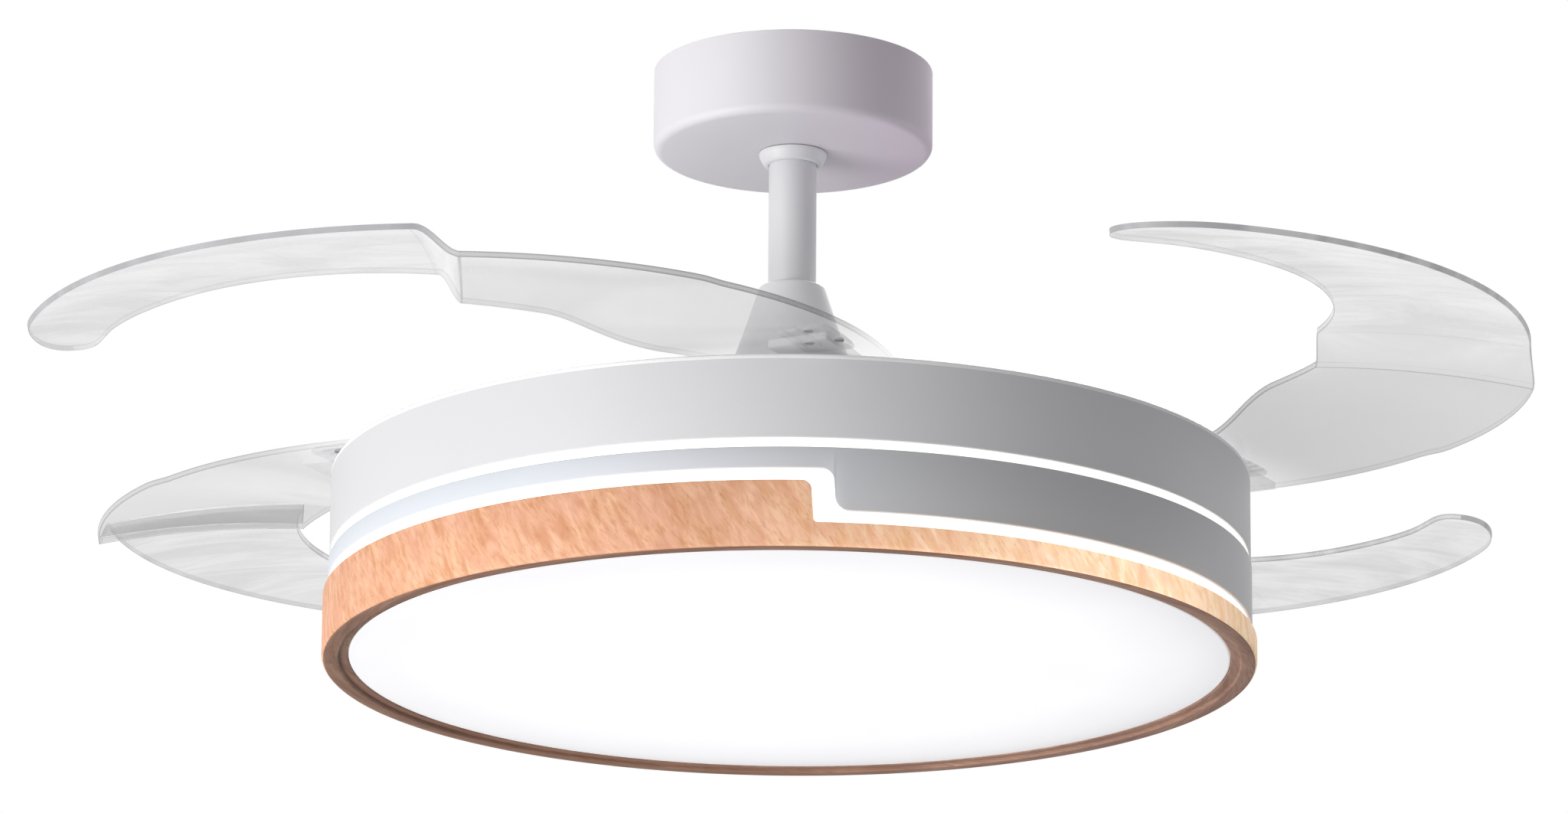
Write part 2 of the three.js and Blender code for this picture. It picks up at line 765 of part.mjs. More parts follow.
// Built folded about the fan's axis, with the pivot at [pivotCircle, 0]; the caller turns it open.
function makeBlade() {
  const across = 3;
  const sections = bladeStations().map((t) => {
    const angle = -t * bladeSweep * degree;
    const outer = bladeRadius - bladeInset(t);
    const width = bladeWidth(t);
    const top = [];
    const bottom = [];
    for (let j = 0; j <= across; j += 1) {
      const radius = outer - width * (j / across);
      const x = radius * Math.cos(angle) - pivotCircle;
      const y = radius * Math.sin(angle);
      const z = bladeHeight(t, radius, j / across);
      top.push([x, y, z + bladeThickness]);
      bottom.unshift([x, y, z]);
    }
    return [...top, ...bottom];
  });
  const reach = bladeThickness + 2;
  const hole = disc(pinHeadRadius + pinHoleGap, zBlade - reach, zBlade + bladeThickness + reach);
  return cut(loft(sections, false), hole);
}

// the pad that lies along the blade's root, in the same folded frame
function padOutline(from, to, half) {
  const place = ([x, y]) => [x - pivotCircle, y];
  const outer = arcPoints(pivotCircle + half, from * degree, to * degree, 3).map(place);
  const inner = arcPoints(pivotCircle - half, to * degree, from * degree, 3).map(place);
  return outlineOf([...outer, ...inner].reverse());
}

function makeHub() {
  const radius = hubPitchRadius();
  const pitch = (2 * Math.PI) / hubTeeth;
  const before = 1;
  const after = 4;
  const first = Math.PI - before * pitch - openAngle * degree;
  const teeth = toothedPoints(radius, 1, first, before + after + 1, pitch);
  const last = first + (before + after) * pitch + pitch / 2;
  const back = arcPoints(radius - dedendum - 1, last, first - pitch / 2 + 2 * Math.PI, 6);
  const sector = plate(outlineOf([...teeth, ...back]), zHubBottom, zGearTop + 0.5);
  const body = disc(hubRadius, zGearTop + 0.2, zHubTop);
  const pad = plate(padOutline(5, -padEnd, padHalfWidth), zHubTop - padThickness, zHubTop);
  const bore = disc(pinRadius + seatGap, zHubBottom - 1, zHubTop + 1, 10);
  const counterbore = disc(counterboreRadius, zGearTop, zHubTop + 1, 10);
  return cut(join(sector, body, pad), bore, counterbore);
}

function makeClamp() {
  const bottom = zBlade + bladeThickness + seatGap;
  return plate(padOutline(-clampStart, 0.5 - padEnd, padHalfWidth - 3), bottom, bottom + clampThickness);
}

// ---- lamp ----
// Height of an edge that steps down from the left half to the right half.
function stepped(turn, high, low, ramp, shift) {
  const along = (angle) => woodRadius * angle * degree;
  const front = along(wrap(turn + 90 - stepAngle / 2)) - shift;
  const back = along(wrap(90 + stepAngle / 2 - turn)) - shift;
  const near = Math.abs(wrap(turn + 90)) < 90 ? front : back;
  return high + (low - high) * smooth(near, -ramp / 2, ramp);
}

function wrap(angle) {
  return ((((angle + 180) % 360) + 360) % 360) - 180;
}

const woodTop = (turn) => {
  return stepped(turn, zLip + woodTall, zLip + woodLow, woodRampLength, 0);
};
const bandBottom = (turn) => {
  const lift = stepGapHeight;
  return stepped(turn, zLip + woodTall + lift, zLip + woodLow + lift, bandRampLength, stepShift);
};

function stepTurns() {
  const turns = [];
  const coarse = 360 / bigSteps;
  for (let i = 0; i < bigSteps; i += 1) turns.push(i * coarse);
  const perMm = 1 / (woodRadius * degree);
  const reach = stepShift + bandRampLength / 2 + woodRampLength / 2;
  for (let i = 0; i <= stepSamples; i += 1) {
    const along = -woodRampLength / 2 + (reach * i) / stepSamples;
    turns.push(-90 + stepAngle / 2 + along * perMm, 90 + stepAngle / 2 - along * perMm);
  }
  return [...new Set(turns.map((turn) => (turn + 360) % 360))].sort((a, b) => a - b);
}

function steppedRing(sectionAt) {
  const sections = stepTurns().map((turn) => {
    const [c, s] = [Math.cos(turn * degree), Math.sin(turn * degree)];
    return sectionAt(turn).map(([r, z]) => [r * c, r * s, z]);
  });
  return loft(sections, true);
}

function makeWoodRing() {
  const inner = woodRadius - woodWall;
  const zStep = zLip + lipStepHeight;
  return steppedRing((turn) => [
    [inner, woodTop(turn)], [woodRadius, woodTop(turn)], [woodRadius, zLip + lipRound],
    [woodRadius - lipRound, zLip], [lipStepRadius, zLip], [lipStepRadius, zStep],
    [lipRadius, zStep], [lipRadius, zLedge], [inner, zLedge],
  ]);
}

function makeLowerBand() {
  const inner = lightRingOuter + seatGap;
  const top = zSlotBottom - seatGap;
  return steppedRing((turn) => [
    [inner, bandBottom(turn)], [bandRadius, bandBottom(turn)], [bandRadius, top], [inner, top],
  ]);
}

function makeLightRing() {
  const top = zDrumBottom - seatGap;
  return steppedRing((turn) => {
    const ribBottom = woodTop(turn) + seatGap;
    const ribTop = bandBottom(turn) - seatGap;
    return [
      [lightRingInner, zLedge + seatGap], [lightRingOuter, zLedge + seatGap],
      [lightRingOuter, ribBottom], [ribRadius, ribBottom], [ribRadius, ribTop],
      [lightRingOuter, ribTop], [lightRingOuter, zSlotBottom], [ribRadius, zSlotBottom],
      [ribRadius, top], [lightRingInner, top],
    ];
  });
}

function makeDrum() {
  const wallInner = drumRadius - drumWall;
  return turned([[drumFlangeRadius, zDrumBottom], [drumRadius, zDrumBottom], [drumRadius, zRim - 0.5],
    [drumRadius - 0.5, zRim], [wallInner, zRim], [wallInner, zDrumBottom + drumWall],
    [drumFlangeRadius, zDrumBottom + drumWall]], bigSteps);
}

function makeChassis() {
  const outer = drumRadius - drumWall - seatGap;
  const skirtBottom = zDrumBottom + drumWall + seatGap;
  const hole = shaftRadius + seatGap;
  return turned([[hole, zChassisBottom], [outer - chassisSheet, zChassisBottom],
    [outer - chassisSheet, skirtBottom], [outer, skirtBottom], [outer, zChassisTop],
    [hole, zChassisTop]], bigSteps);
}

function makeStandoff() {
  const bottom = zLightTrayTop + seatGap;
  return disc(standoffRadius, bottom, zChassisBottom - seatGap, 10);
}

function lightTrayRadius() {
  return lightRingInner - seatGap;
}

function makeLightTray() {
  const outer = lightTrayRadius();
  const bottom = zLedge + seatGap;
  const underside = zLightTrayTop - chassisSheet;
  return turned([[0, underside], [outer - chassisSheet, underside], [outer - chassisSheet, bottom],
    [outer, bottom], [outer, zLightTrayTop], [0, zLightTrayTop]], bigSteps);
}

function makeBoard() {
  const top = zLightTrayTop - chassisSheet - trayToBoard;
  const base = disc(boardRadius, top - boardThickness, top, midSteps);
  const chips = [];
  for (let i = 0; i < ledCount; i += 1) {
    const a = (i / ledCount) * 2 * Math.PI;
    const radius = boardRadius * (i % 2 ? 0.85 : 0.5);
    const face = top - boardThickness;
    const chip = block(ledSize, ledSize, face - 0.8, face + 0.4);
    chips.push(chip.translate(radius * Math.cos(a), radius * Math.sin(a), 0));
  }
  return join(base, ...chips);
}

function makePanel() {
  const wall = lipRadius - seatGap;
  const flange = lightTrayRadius() - chassisSheet - seatGap;
  const zFlange = zLedge + seatGap;
  const under = [];
  const over = [];
  const rings = 2;
  for (let i = 0; i <= rings; i += 1) {
    const share = i / rings;
    const drop = panelDome * (1 - share ** 2);
    under.push([wall * share, zPanelBottom - drop]);
    over.unshift([(wall - panelThickness) * share, zPanelBottom + panelThickness - drop]);
  }
  return turned([...under, [wall, zFlange], [flange, zFlange], [flange, zFlange + 2],
    [wall - panelThickness, zFlange + 2], ...over], bigSteps);
}

function boxCase([length, width, height], x) {
  const bottom = zLightTrayTop + seatGap;
  const body = block(length, width, bottom, bottom + height, x);
  const foot = block(length + 2 * footReach, width * 0.6, bottom, bottom + 2, x);
  return join(body, foot);
}

// ---- assembly ----
const group = new THREE.Group();

node(group, "ceiling_bracket", makeBracket(), steel);
node(group, "hanger_ball", makeBall(), greyPlastic);
node(group, "ball_cross_pin", makeCrossPin(rodRadius + 1, crossPinHeight()), steel);
node(group, "down_rod", makeRod(), whitePaint);
node(group, "canopy", makeCanopy(), whitePaint);
node(group, "canopy_collar", makeCollar(), whitePaint);
node(group, "collar_screw", makeCollarScrew(), steel);
node(group, "bell_cover", makeBell(), whitePaint);
node(group, "rod_coupling", makeCoupling(), steel);
node(group, "coupling_pin", makeCrossPin(couplingRadius() - 0.5, -couplingPinDrop), steel);
node(group, "motor_shaft", makeShaft(), steel);
node(group, "motor_stator", makeStator(), darkIron);
node(group, "upper_bearing", makeBearing(true), steel);
node(group, "lower_bearing", makeBearing(false), steel);
node(group, "shaft_washer", makeWasher(), steel);
node(group, "shaft_nut", makeNut(), steel);

const rotor = new THREE.Group();
rotor.rotation.z = rotorTurn * degree;
group.add(rotor);
node(rotor, "motor_upper_shell", makeUpperShell(), aluminium);
node(rotor, "motor_lower_shell", makeLowerShell(), aluminium);
node(rotor, "magnet_ring", makeMagnets(), darkIron);
node(rotor, "blade_tray", makeTray(), whitePaint);
node(rotor, "ring_keeper", makeKeeper(), steel);
node(rotor, "sync_ring", makeSyncRing(), greyPlastic);

for (let k = 0; k < bladeCount; k += 1) {
  const arm = new THREE.Group();
  arm.rotation.z = (k * 2 * Math.PI) / bladeCount;
  rotor.add(arm);
  const pivot = new THREE.Group();
  pivot.position.x = pivotCircle;
  arm.add(pivot);
  node(pivot, `pivot_pin_${k + 1}`, makePin(), steel);
  node(pivot, `return_spring_${k + 1}`, makeSpring(), steel);
  const open = new THREE.Group();
  open.rotation.z = openAngle * degree;
  pivot.add(open);
  node(open, `blade_${k + 1}`, makeBlade(), clearPlastic);
  node(open, `blade_hub_${k + 1}`, makeHub(), greyPlastic);
  node(open, `blade_clamp_${k + 1}`, makeClamp(), clearPlastic);
}

node(group, "lamp_chassis", makeChassis(), steel);
node(group, "upper_drum", makeDrum(), whitePaint);
node(group, "light_ring", makeLightRing(), opalPlastic);
node(group, "lower_band", makeLowerBand(), bandPaint);
node(group, "wood_ring", makeWoodRing(), woodFinish);
node(group, "light_tray", makeLightTray(), whitePaint);
node(group, "led_board", makeBoard(), boardFinish);
node(group, "panel_diffuser", makePanel(), opalPlastic);
node(group, "led_driver", boxCase(driverSize, -boxPlace), greyPlastic);
node(group, "remote_receiver", boxCase(receiverSize, boxPlace), greyPlastic);
for (let k = 0; k < 3; k += 1) {
  const standoff = new THREE.Group();
  const a = (k * 2 * Math.PI) / 3 + Math.PI / 2;
  standoff.position.set(standoffCircle * Math.cos(a), standoffCircle * Math.sin(a), 0);
  group.add(standoff);
  node(standoff, `lamp_standoff_${k + 1}`, makeStandoff(), steel);
}

export default group;
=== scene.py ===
import json
import math

import bmesh
import bpy
from mathutils import Matrix, Vector


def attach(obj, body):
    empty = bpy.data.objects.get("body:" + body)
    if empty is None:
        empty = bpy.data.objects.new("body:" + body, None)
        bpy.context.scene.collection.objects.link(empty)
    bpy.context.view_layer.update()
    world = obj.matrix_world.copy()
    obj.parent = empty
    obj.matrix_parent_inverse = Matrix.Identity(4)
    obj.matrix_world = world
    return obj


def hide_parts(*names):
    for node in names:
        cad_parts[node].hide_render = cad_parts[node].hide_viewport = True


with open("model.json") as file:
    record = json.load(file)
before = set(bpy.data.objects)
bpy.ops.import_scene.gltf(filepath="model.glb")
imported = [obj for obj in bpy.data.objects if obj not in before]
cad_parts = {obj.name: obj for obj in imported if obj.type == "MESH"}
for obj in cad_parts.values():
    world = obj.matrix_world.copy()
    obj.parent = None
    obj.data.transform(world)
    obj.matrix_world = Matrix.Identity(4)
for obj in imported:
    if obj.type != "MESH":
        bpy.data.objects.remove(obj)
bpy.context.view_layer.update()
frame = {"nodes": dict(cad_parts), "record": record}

mm = 0.001
axisUp = (0, 0, 1)
fullTurn = 2 * math.pi
mergeDistance = 1e-6

# heights shared by several pieces, in millimetres from the ceiling
level = {
    "lip": -335, "ledge": -327, "slotBottom": -281.5, "drumBottom": -277, "rim": -232.5,
    "motorBottom": -237.7, "motorTop": -197.7, "blade": -225,
}


# camera
cameraLook = {
    "distance": 4.40,       # to the middle of the lamp's lip, metres
    "elevation": 14.235,    # how far the camera looks up at the lip, degrees
    "focal": 10740,         # in pixels of the 2048 wide frame
    "roll": 0.41,
    "sensor": 36,
    "lipPixel": (1030.9, 872.0),
    "frameSize": (2048, 1062),
}


def makeCamera(look):
    lipMiddle = Vector((0, 0, level["lip"] * mm))
    tilt = math.radians(look["elevation"])
    sight = Vector((0, math.cos(tilt), math.sin(tilt)))
    width, height = look["frameSize"]
    right = Vector((1, 0, 0))
    up = right.cross(sight)
    roll = math.radians(look["roll"])
    camRight = right * math.cos(roll) + up * math.sin(roll)
    camUp = up * math.cos(roll) - right * math.sin(roll)
    offX = (look["lipPixel"][0] - width / 2) / look["focal"]
    offY = (look["lipPixel"][1] - height / 2) / look["focal"]
    aim = (sight - camRight * offX + camUp * offY).normalized()  # turned so that no lens shift is needed
    side = aim.cross(camUp).normalized()
    top = side.cross(aim)
    data = bpy.data.cameras.new("photoCamera")
    data.sensor_width = look["sensor"]
    data.lens = look["focal"] * look["sensor"] / width
    data.clip_end = 100
    camera = bpy.data.objects.new("photoCamera", data)
    bpy.context.scene.collection.objects.link(camera)
    turn = Matrix((side, top, -aim)).transposed()
    camera.matrix_world = Matrix.Translation(lipMiddle - sight * look["distance"]) @ turn.to_4x4()
    bpy.context.scene.camera = camera


makeCamera(cameraLook)
print("camera placed")


# node helpers
def newMaterial(name):
    material = bpy.data.materials.new(name)
    material.use_nodes = True
    tree = material.node_tree
    return material, tree, tree.nodes["Principled BSDF"]


def addNode(tree, kind, **settings):
    made = tree.nodes.new(kind)
    for key, value in settings.items():
        setattr(made, key, value)
    return made


def coordinates(tree, scale=(1, 1, 1), turn=(0, 0, 0)):
    source = addNode(tree, "ShaderNodeTexCoord")
    mapping = addNode(tree, "ShaderNodeMapping")
    mapping.inputs["Scale"].default_value = scale
    mapping.inputs["Rotation"].default_value = turn
    tree.links.new(source.outputs["Object"], mapping.inputs["Vector"])
    return mapping.outputs["Vector"]


def noise(tree, vector, scale, detail=4, roughness=0.55, distortion=0):
    made = addNode(tree, "ShaderNodeTexNoise")
    made.inputs["Distortion"].default_value = distortion
    made.inputs["Scale"].default_value = scale
    made.inputs["Detail"].default_value = detail
    made.inputs["Roughness"].default_value = roughness
    tree.links.new(vector, made.inputs["Vector"])
    return made.outputs["Fac"]


def spread(tree, value, low, high, fromLow=0.35, fromHigh=0.65):
    made = addNode(tree, "ShaderNodeMapRange")
    made.inputs["From Min"].default_value = fromLow
    made.inputs["From Max"].default_value = fromHigh
    made.inputs["To Min"].default_value = low
    made.inputs["To Max"].default_value = high
    tree.links.new(value, made.inputs["Value"])
    return made.outputs["Result"]


def mixColours(tree, factor, first, second):
    made = addNode(tree, "ShaderNodeMix", data_type="RGBA", blend_type="MIX")
    tree.links.new(factor, made.inputs["Factor"])
    for socket, colour in ((made.inputs[6], first), (made.inputs[7], second)):
        if isinstance(colour, tuple):
            socket.default_value = (*colour, 1)
        else:
            tree.links.new(colour, socket)
    return made.outputs[2]


def multiply(tree, first, second):
    made = addNode(tree, "ShaderNodeMath", operation="MULTIPLY")
    tree.links.new(first, made.inputs[0])
    tree.links.new(second, made.inputs[1])
    return made.outputs["Value"]


# share * factor + base
def addShare(tree, share, factor, base):
    made = addNode(tree, "ShaderNodeMath", operation="MULTIPLY_ADD")
    made.inputs[1].default_value = factor
    tree.links.new(share, made.inputs[0])
    tree.links.new(base, made.inputs[2])
    return made.outputs["Value"]


def addBump(tree, shader, height, strength, distance):
    bump = addNode(tree, "ShaderNodeBump")
    bump.inputs["Strength"].default_value = strength
    bump.inputs["Distance"].default_value = distance
    tree.links.new(height, bump.inputs["Height"])
    tree.links.new(bump.outputs["Normal"], shader.inputs["Normal"])


# depths of the surface grain, in metres
paintGrain = 0.0004
metalGrain = 0.0003
woodGrain = 0.0003
opalGrain = 0.0002
bladeWave = 0.002
# how the haze of the clear plastic is stretched and turned
hazeStretch = (1, 3.5, 1)
hazeTurn = (0, 0, 0.6)


# roughness round the given value, wandering with a fine pattern
def addRoughness(tree, shader, pattern, look, below, above):
    rough = spread(tree, pattern, look["roughness"] - below, look["roughness"] + above)
    tree.links.new(rough, shader.inputs["Roughness"])


def addPaintGrain(tree, shader, place, look):
    fine = noise(tree, place, look["grainScale"], 2)
    addRoughness(tree, shader, fine, look, 0.05, 0.06)
    addBump(tree, shader, fine, look["grainDepth"], paintGrain)


def paintMaterial(name, look):
    material, tree, shader = newMaterial(name)
    place = coordinates(tree)
    cloud = noise(tree, place, look["cloudScale"], 3)
    colour = mixColours(tree, spread(tree, cloud, 0, 1), look["colour"], look["shade"])
    tree.links.new(colour, shader.inputs["Base Color"])
    addPaintGrain(tree, shader, place, look)
    shader.inputs["Specular IOR Level"].default_value = look.get("gloss", 0.4)
    return material


# paint with painted light and shade: its tone changes from the left to the right, standing in for how the
# light falls
def sideShadedPaint(name, look):
    material, tree, shader = newMaterial(name)
    place = coordinates(tree)
    spot = addNode(tree, "ShaderNodeSeparateXYZ")
    tree.links.new(place, spot.inputs["Vector"])
    side = spread(tree, spot.outputs["X"], 0, 1, look["blendFrom"], look["blendTo"])
    base = mixColours(tree, side, look["left"], look["right"])
    cloud = noise(tree, place, look["cloudScale"], 3)
    colour = mixColours(tree, spread(tree, cloud, 0, 0.12), base, look["shade"])
    tree.links.new(colour, shader.inputs["Base Color"])
    addPaintGrain(tree, shader, place, look)
    return material


def metalMaterial(name, look):
    material, tree, shader = newMaterial(name)
    brushed = noise(tree, coordinates(tree, look["stretch"]), look["brushScale"], 3)
    cloud = noise(tree, coordinates(tree), 40, 3)
    colour = mixColours(tree, spread(tree, cloud, 0, 1), look["colour"], look["shade"])
    tree.links.new(colour, shader.inputs["Base Color"])
    addRoughness(tree, shader, brushed, look, 0.08, 0.1)
    shader.inputs["Metallic"].default_value = look.get("metallic", 1.0)
    addBump(tree, shader, brushed, look["brushDepth"], metalGrain)
    return material


# coordinates turned first and then stretched, so that the grain can lie at a slant
def grainCoordinates(tree, scale, lean):
    source = addNode(tree, "ShaderNodeTexCoord")
    mapping = addNode(tree, "ShaderNodeMapping", vector_type="TEXTURE")
    mapping.inputs["Scale"].default_value = (1 / scale[0], 1 / scale[1], 1)
    mapping.inputs["Rotation"].default_value = (0, 0, math.radians(lean))
    tree.links.new(source.outputs["UV"], mapping.inputs["Vector"])
    return mapping.outputs["Vector"]


# painted light, in metres along X: where the wood turns paler towards the right and where its painted glow
# rises and falls
woodSpan = {"paleFrom": -0.06, "paleTo": 0.17, "glowFrom": -0.045, "glowTo": 0.15,
            "fadeFrom": 0.2, "fadeTo": 0.246, "fadeLow": 0.35}


def woodMaterial(name, look):
    material, tree, shader = newMaterial(name)
    fibre = noise(tree, grainCoordinates(tree, look["fibreScale"], look["lean"]), 1, 4, 0.6, 0.6)
    streak = noise(tree, grainCoordinates(tree, look["streakScale"], look["lean"] * 0.7), 1, 3, 0.5, 0.8)
    pores = noise(tree, grainCoordinates(tree, look["poreScale"], look["lean"]), 1, 2, 0.5)
    hue = noise(tree, grainCoordinates(tree, look["hueScale"], look["lean"]), 1, 2, 0.6)
    spot = addNode(tree, "ShaderNodeSeparateXYZ")
    tree.links.new(coordinates(tree), spot.inputs["Vector"])
    # painted light: the wood's colours turn paler towards the right
    side = spread(tree, spot.outputs["X"], 0, 1, woodSpan["paleFrom"], woodSpan["paleTo"])
    light = mixColours(tree, side, look["lightLeft"], look["lightRight"])
    dark = mixColours(tree, side, look["darkLeft"], look["darkRight"])
    base = mixColours(tree, spread(tree, streak, 0, 0.9, 0.34, 0.68), light, dark)
    lined = mixColours(tree, spread(tree, fibre, 0, 0.7, 0.46, 0.66), base, dark)
    poreTone = mixColours(tree, spread(tree, pores, 0, 0.45, 0.6, 0.72), lined, look["poreColour"])
    tinted = mixColours(tree, spread(tree, hue, 0, 0.3, 0.4, 0.62), poreTone, look["tint"])
    tree.links.new(tinted, shader.inputs["Base Color"])
    # painted light: the wood glows with its own colour, rising towards the right and fading at the far right
    tree.links.new(tinted, shader.inputs["Emission Color"])
    rise = spread(tree, spot.outputs["X"], 0, look["glow"], woodSpan["glowFrom"], woodSpan["glowTo"])
    fade = spread(tree, spot.outputs["X"], 1, woodSpan["fadeLow"], woodSpan["fadeFrom"], woodSpan["fadeTo"])
    tree.links.new(multiply(tree, rise, fade), shader.inputs["Emission Strength"])
    tree.links.new(spread(tree, fibre, 0.5, 0.66), shader.inputs["Roughness"])
    shader.inputs["Specular IOR Level"].default_value = 0.3
    addBump(tree, shader, fibre, 0.25, woodGrain)
    return material


# the glow changes with the distance from the origin, which grows from the panel's middle to its edge
def glowMaterial(name, look):
    material, tree, shader = newMaterial(name)
    cloud = noise(tree, coordinates(tree), 12, 2)
    colour = mixColours(tree, spread(tree, cloud, 0, 1), look["colour"], look["shade"])
    tree.links.new(colour, shader.inputs["Base Color"])
    tree.links.new(colour, shader.inputs["Emission Color"])
    reach = addNode(tree, "ShaderNodeVectorMath", operation="LENGTH")
    tree.links.new(coordinates(tree), reach.inputs[0])
    fade = spread(tree, reach.outputs["Value"], look["strength"], look["edgeStrength"],
                  look["edgeFrom"], look["edgeTo"])
    tree.links.new(fade, shader.inputs["Emission Strength"])
    fine = noise(tree, coordinates(tree), 900, 2)
    addRoughness(tree, shader, fine, look, 0.04, 0.05)
    addBump(tree, shader, fine, 0.05, opalGrain)
    return material


# "rim", "tip" and "root" are attributes of the blades' points; other pieces have none and count as 0
def clearMaterial(name, look):
    material, tree, shader = newMaterial(name)
    place = coordinates(tree)
    cloud = noise(tree, place, look["cloudScale"], 3)
    streaks = noise(tree, coordinates(tree, hazeStretch, hazeTurn), look["cloudScale"], 5, 0.6, 1.5)
    rim, tip, root = (addNode(tree, "ShaderNodeAttribute", attribute_name=part).outputs["Fac"]
                      for part in ("rim", "tip", "root"))
    body = mixColours(tree, spread(tree, cloud, 0, 1), look["colour"], look["shade"])
    # painted shade: the rim attribute darkens the colour along the blades' edges, walls and lines
    tree.links.new(mixColours(tree, rim, body, look["edgeShadeColour"]), shader.inputs["Base Color"])
    fog = addNode(tree, "ShaderNodeMix")
    tree.links.new(tip, fog.inputs[0])
    plain = spread(tree, cloud, look["alpha"] - 0.01, look["alpha"] + 0.01)
    tree.links.new(plain, fog.inputs[2])
    hazy = spread(tree, streaks, look["tipAlpha"] - 0.09, look["tipAlpha"] + 0.06, 0.4, 0.6)
    tree.links.new(hazy, fog.inputs[3])
    edge = addShare(tree, rim, look["rimAlpha"], fog.outputs[0])
    # the far walls are fainter, as seen through the plastic
    facing = addNode(tree, "ShaderNodeNewGeometry")
    seen = multiply(tree, edge, spread(tree, facing.outputs["Backfacing"], 1, look["insideAlpha"], 0, 1))
    # the arm is clearer near its root
    clear = multiply(tree, seen, spread(tree, root, 1, look["rootAlpha"], 0, 1))
    tree.links.new(clear, shader.inputs["Alpha"])
    fine = spread(tree, noise(tree, place, 500, 2), look["roughness"] - 0.03, look["roughness"] + 0.04)
    tree.links.new(addShare(tree, rim, look["rimRoughness"], fine), shader.inputs["Roughness"])
    addBump(tree, shader, noise(tree, place, 14, 2), 0.12, bladeWave)
    shader.inputs["Specular IOR Level"].default_value = 0.5
    return material


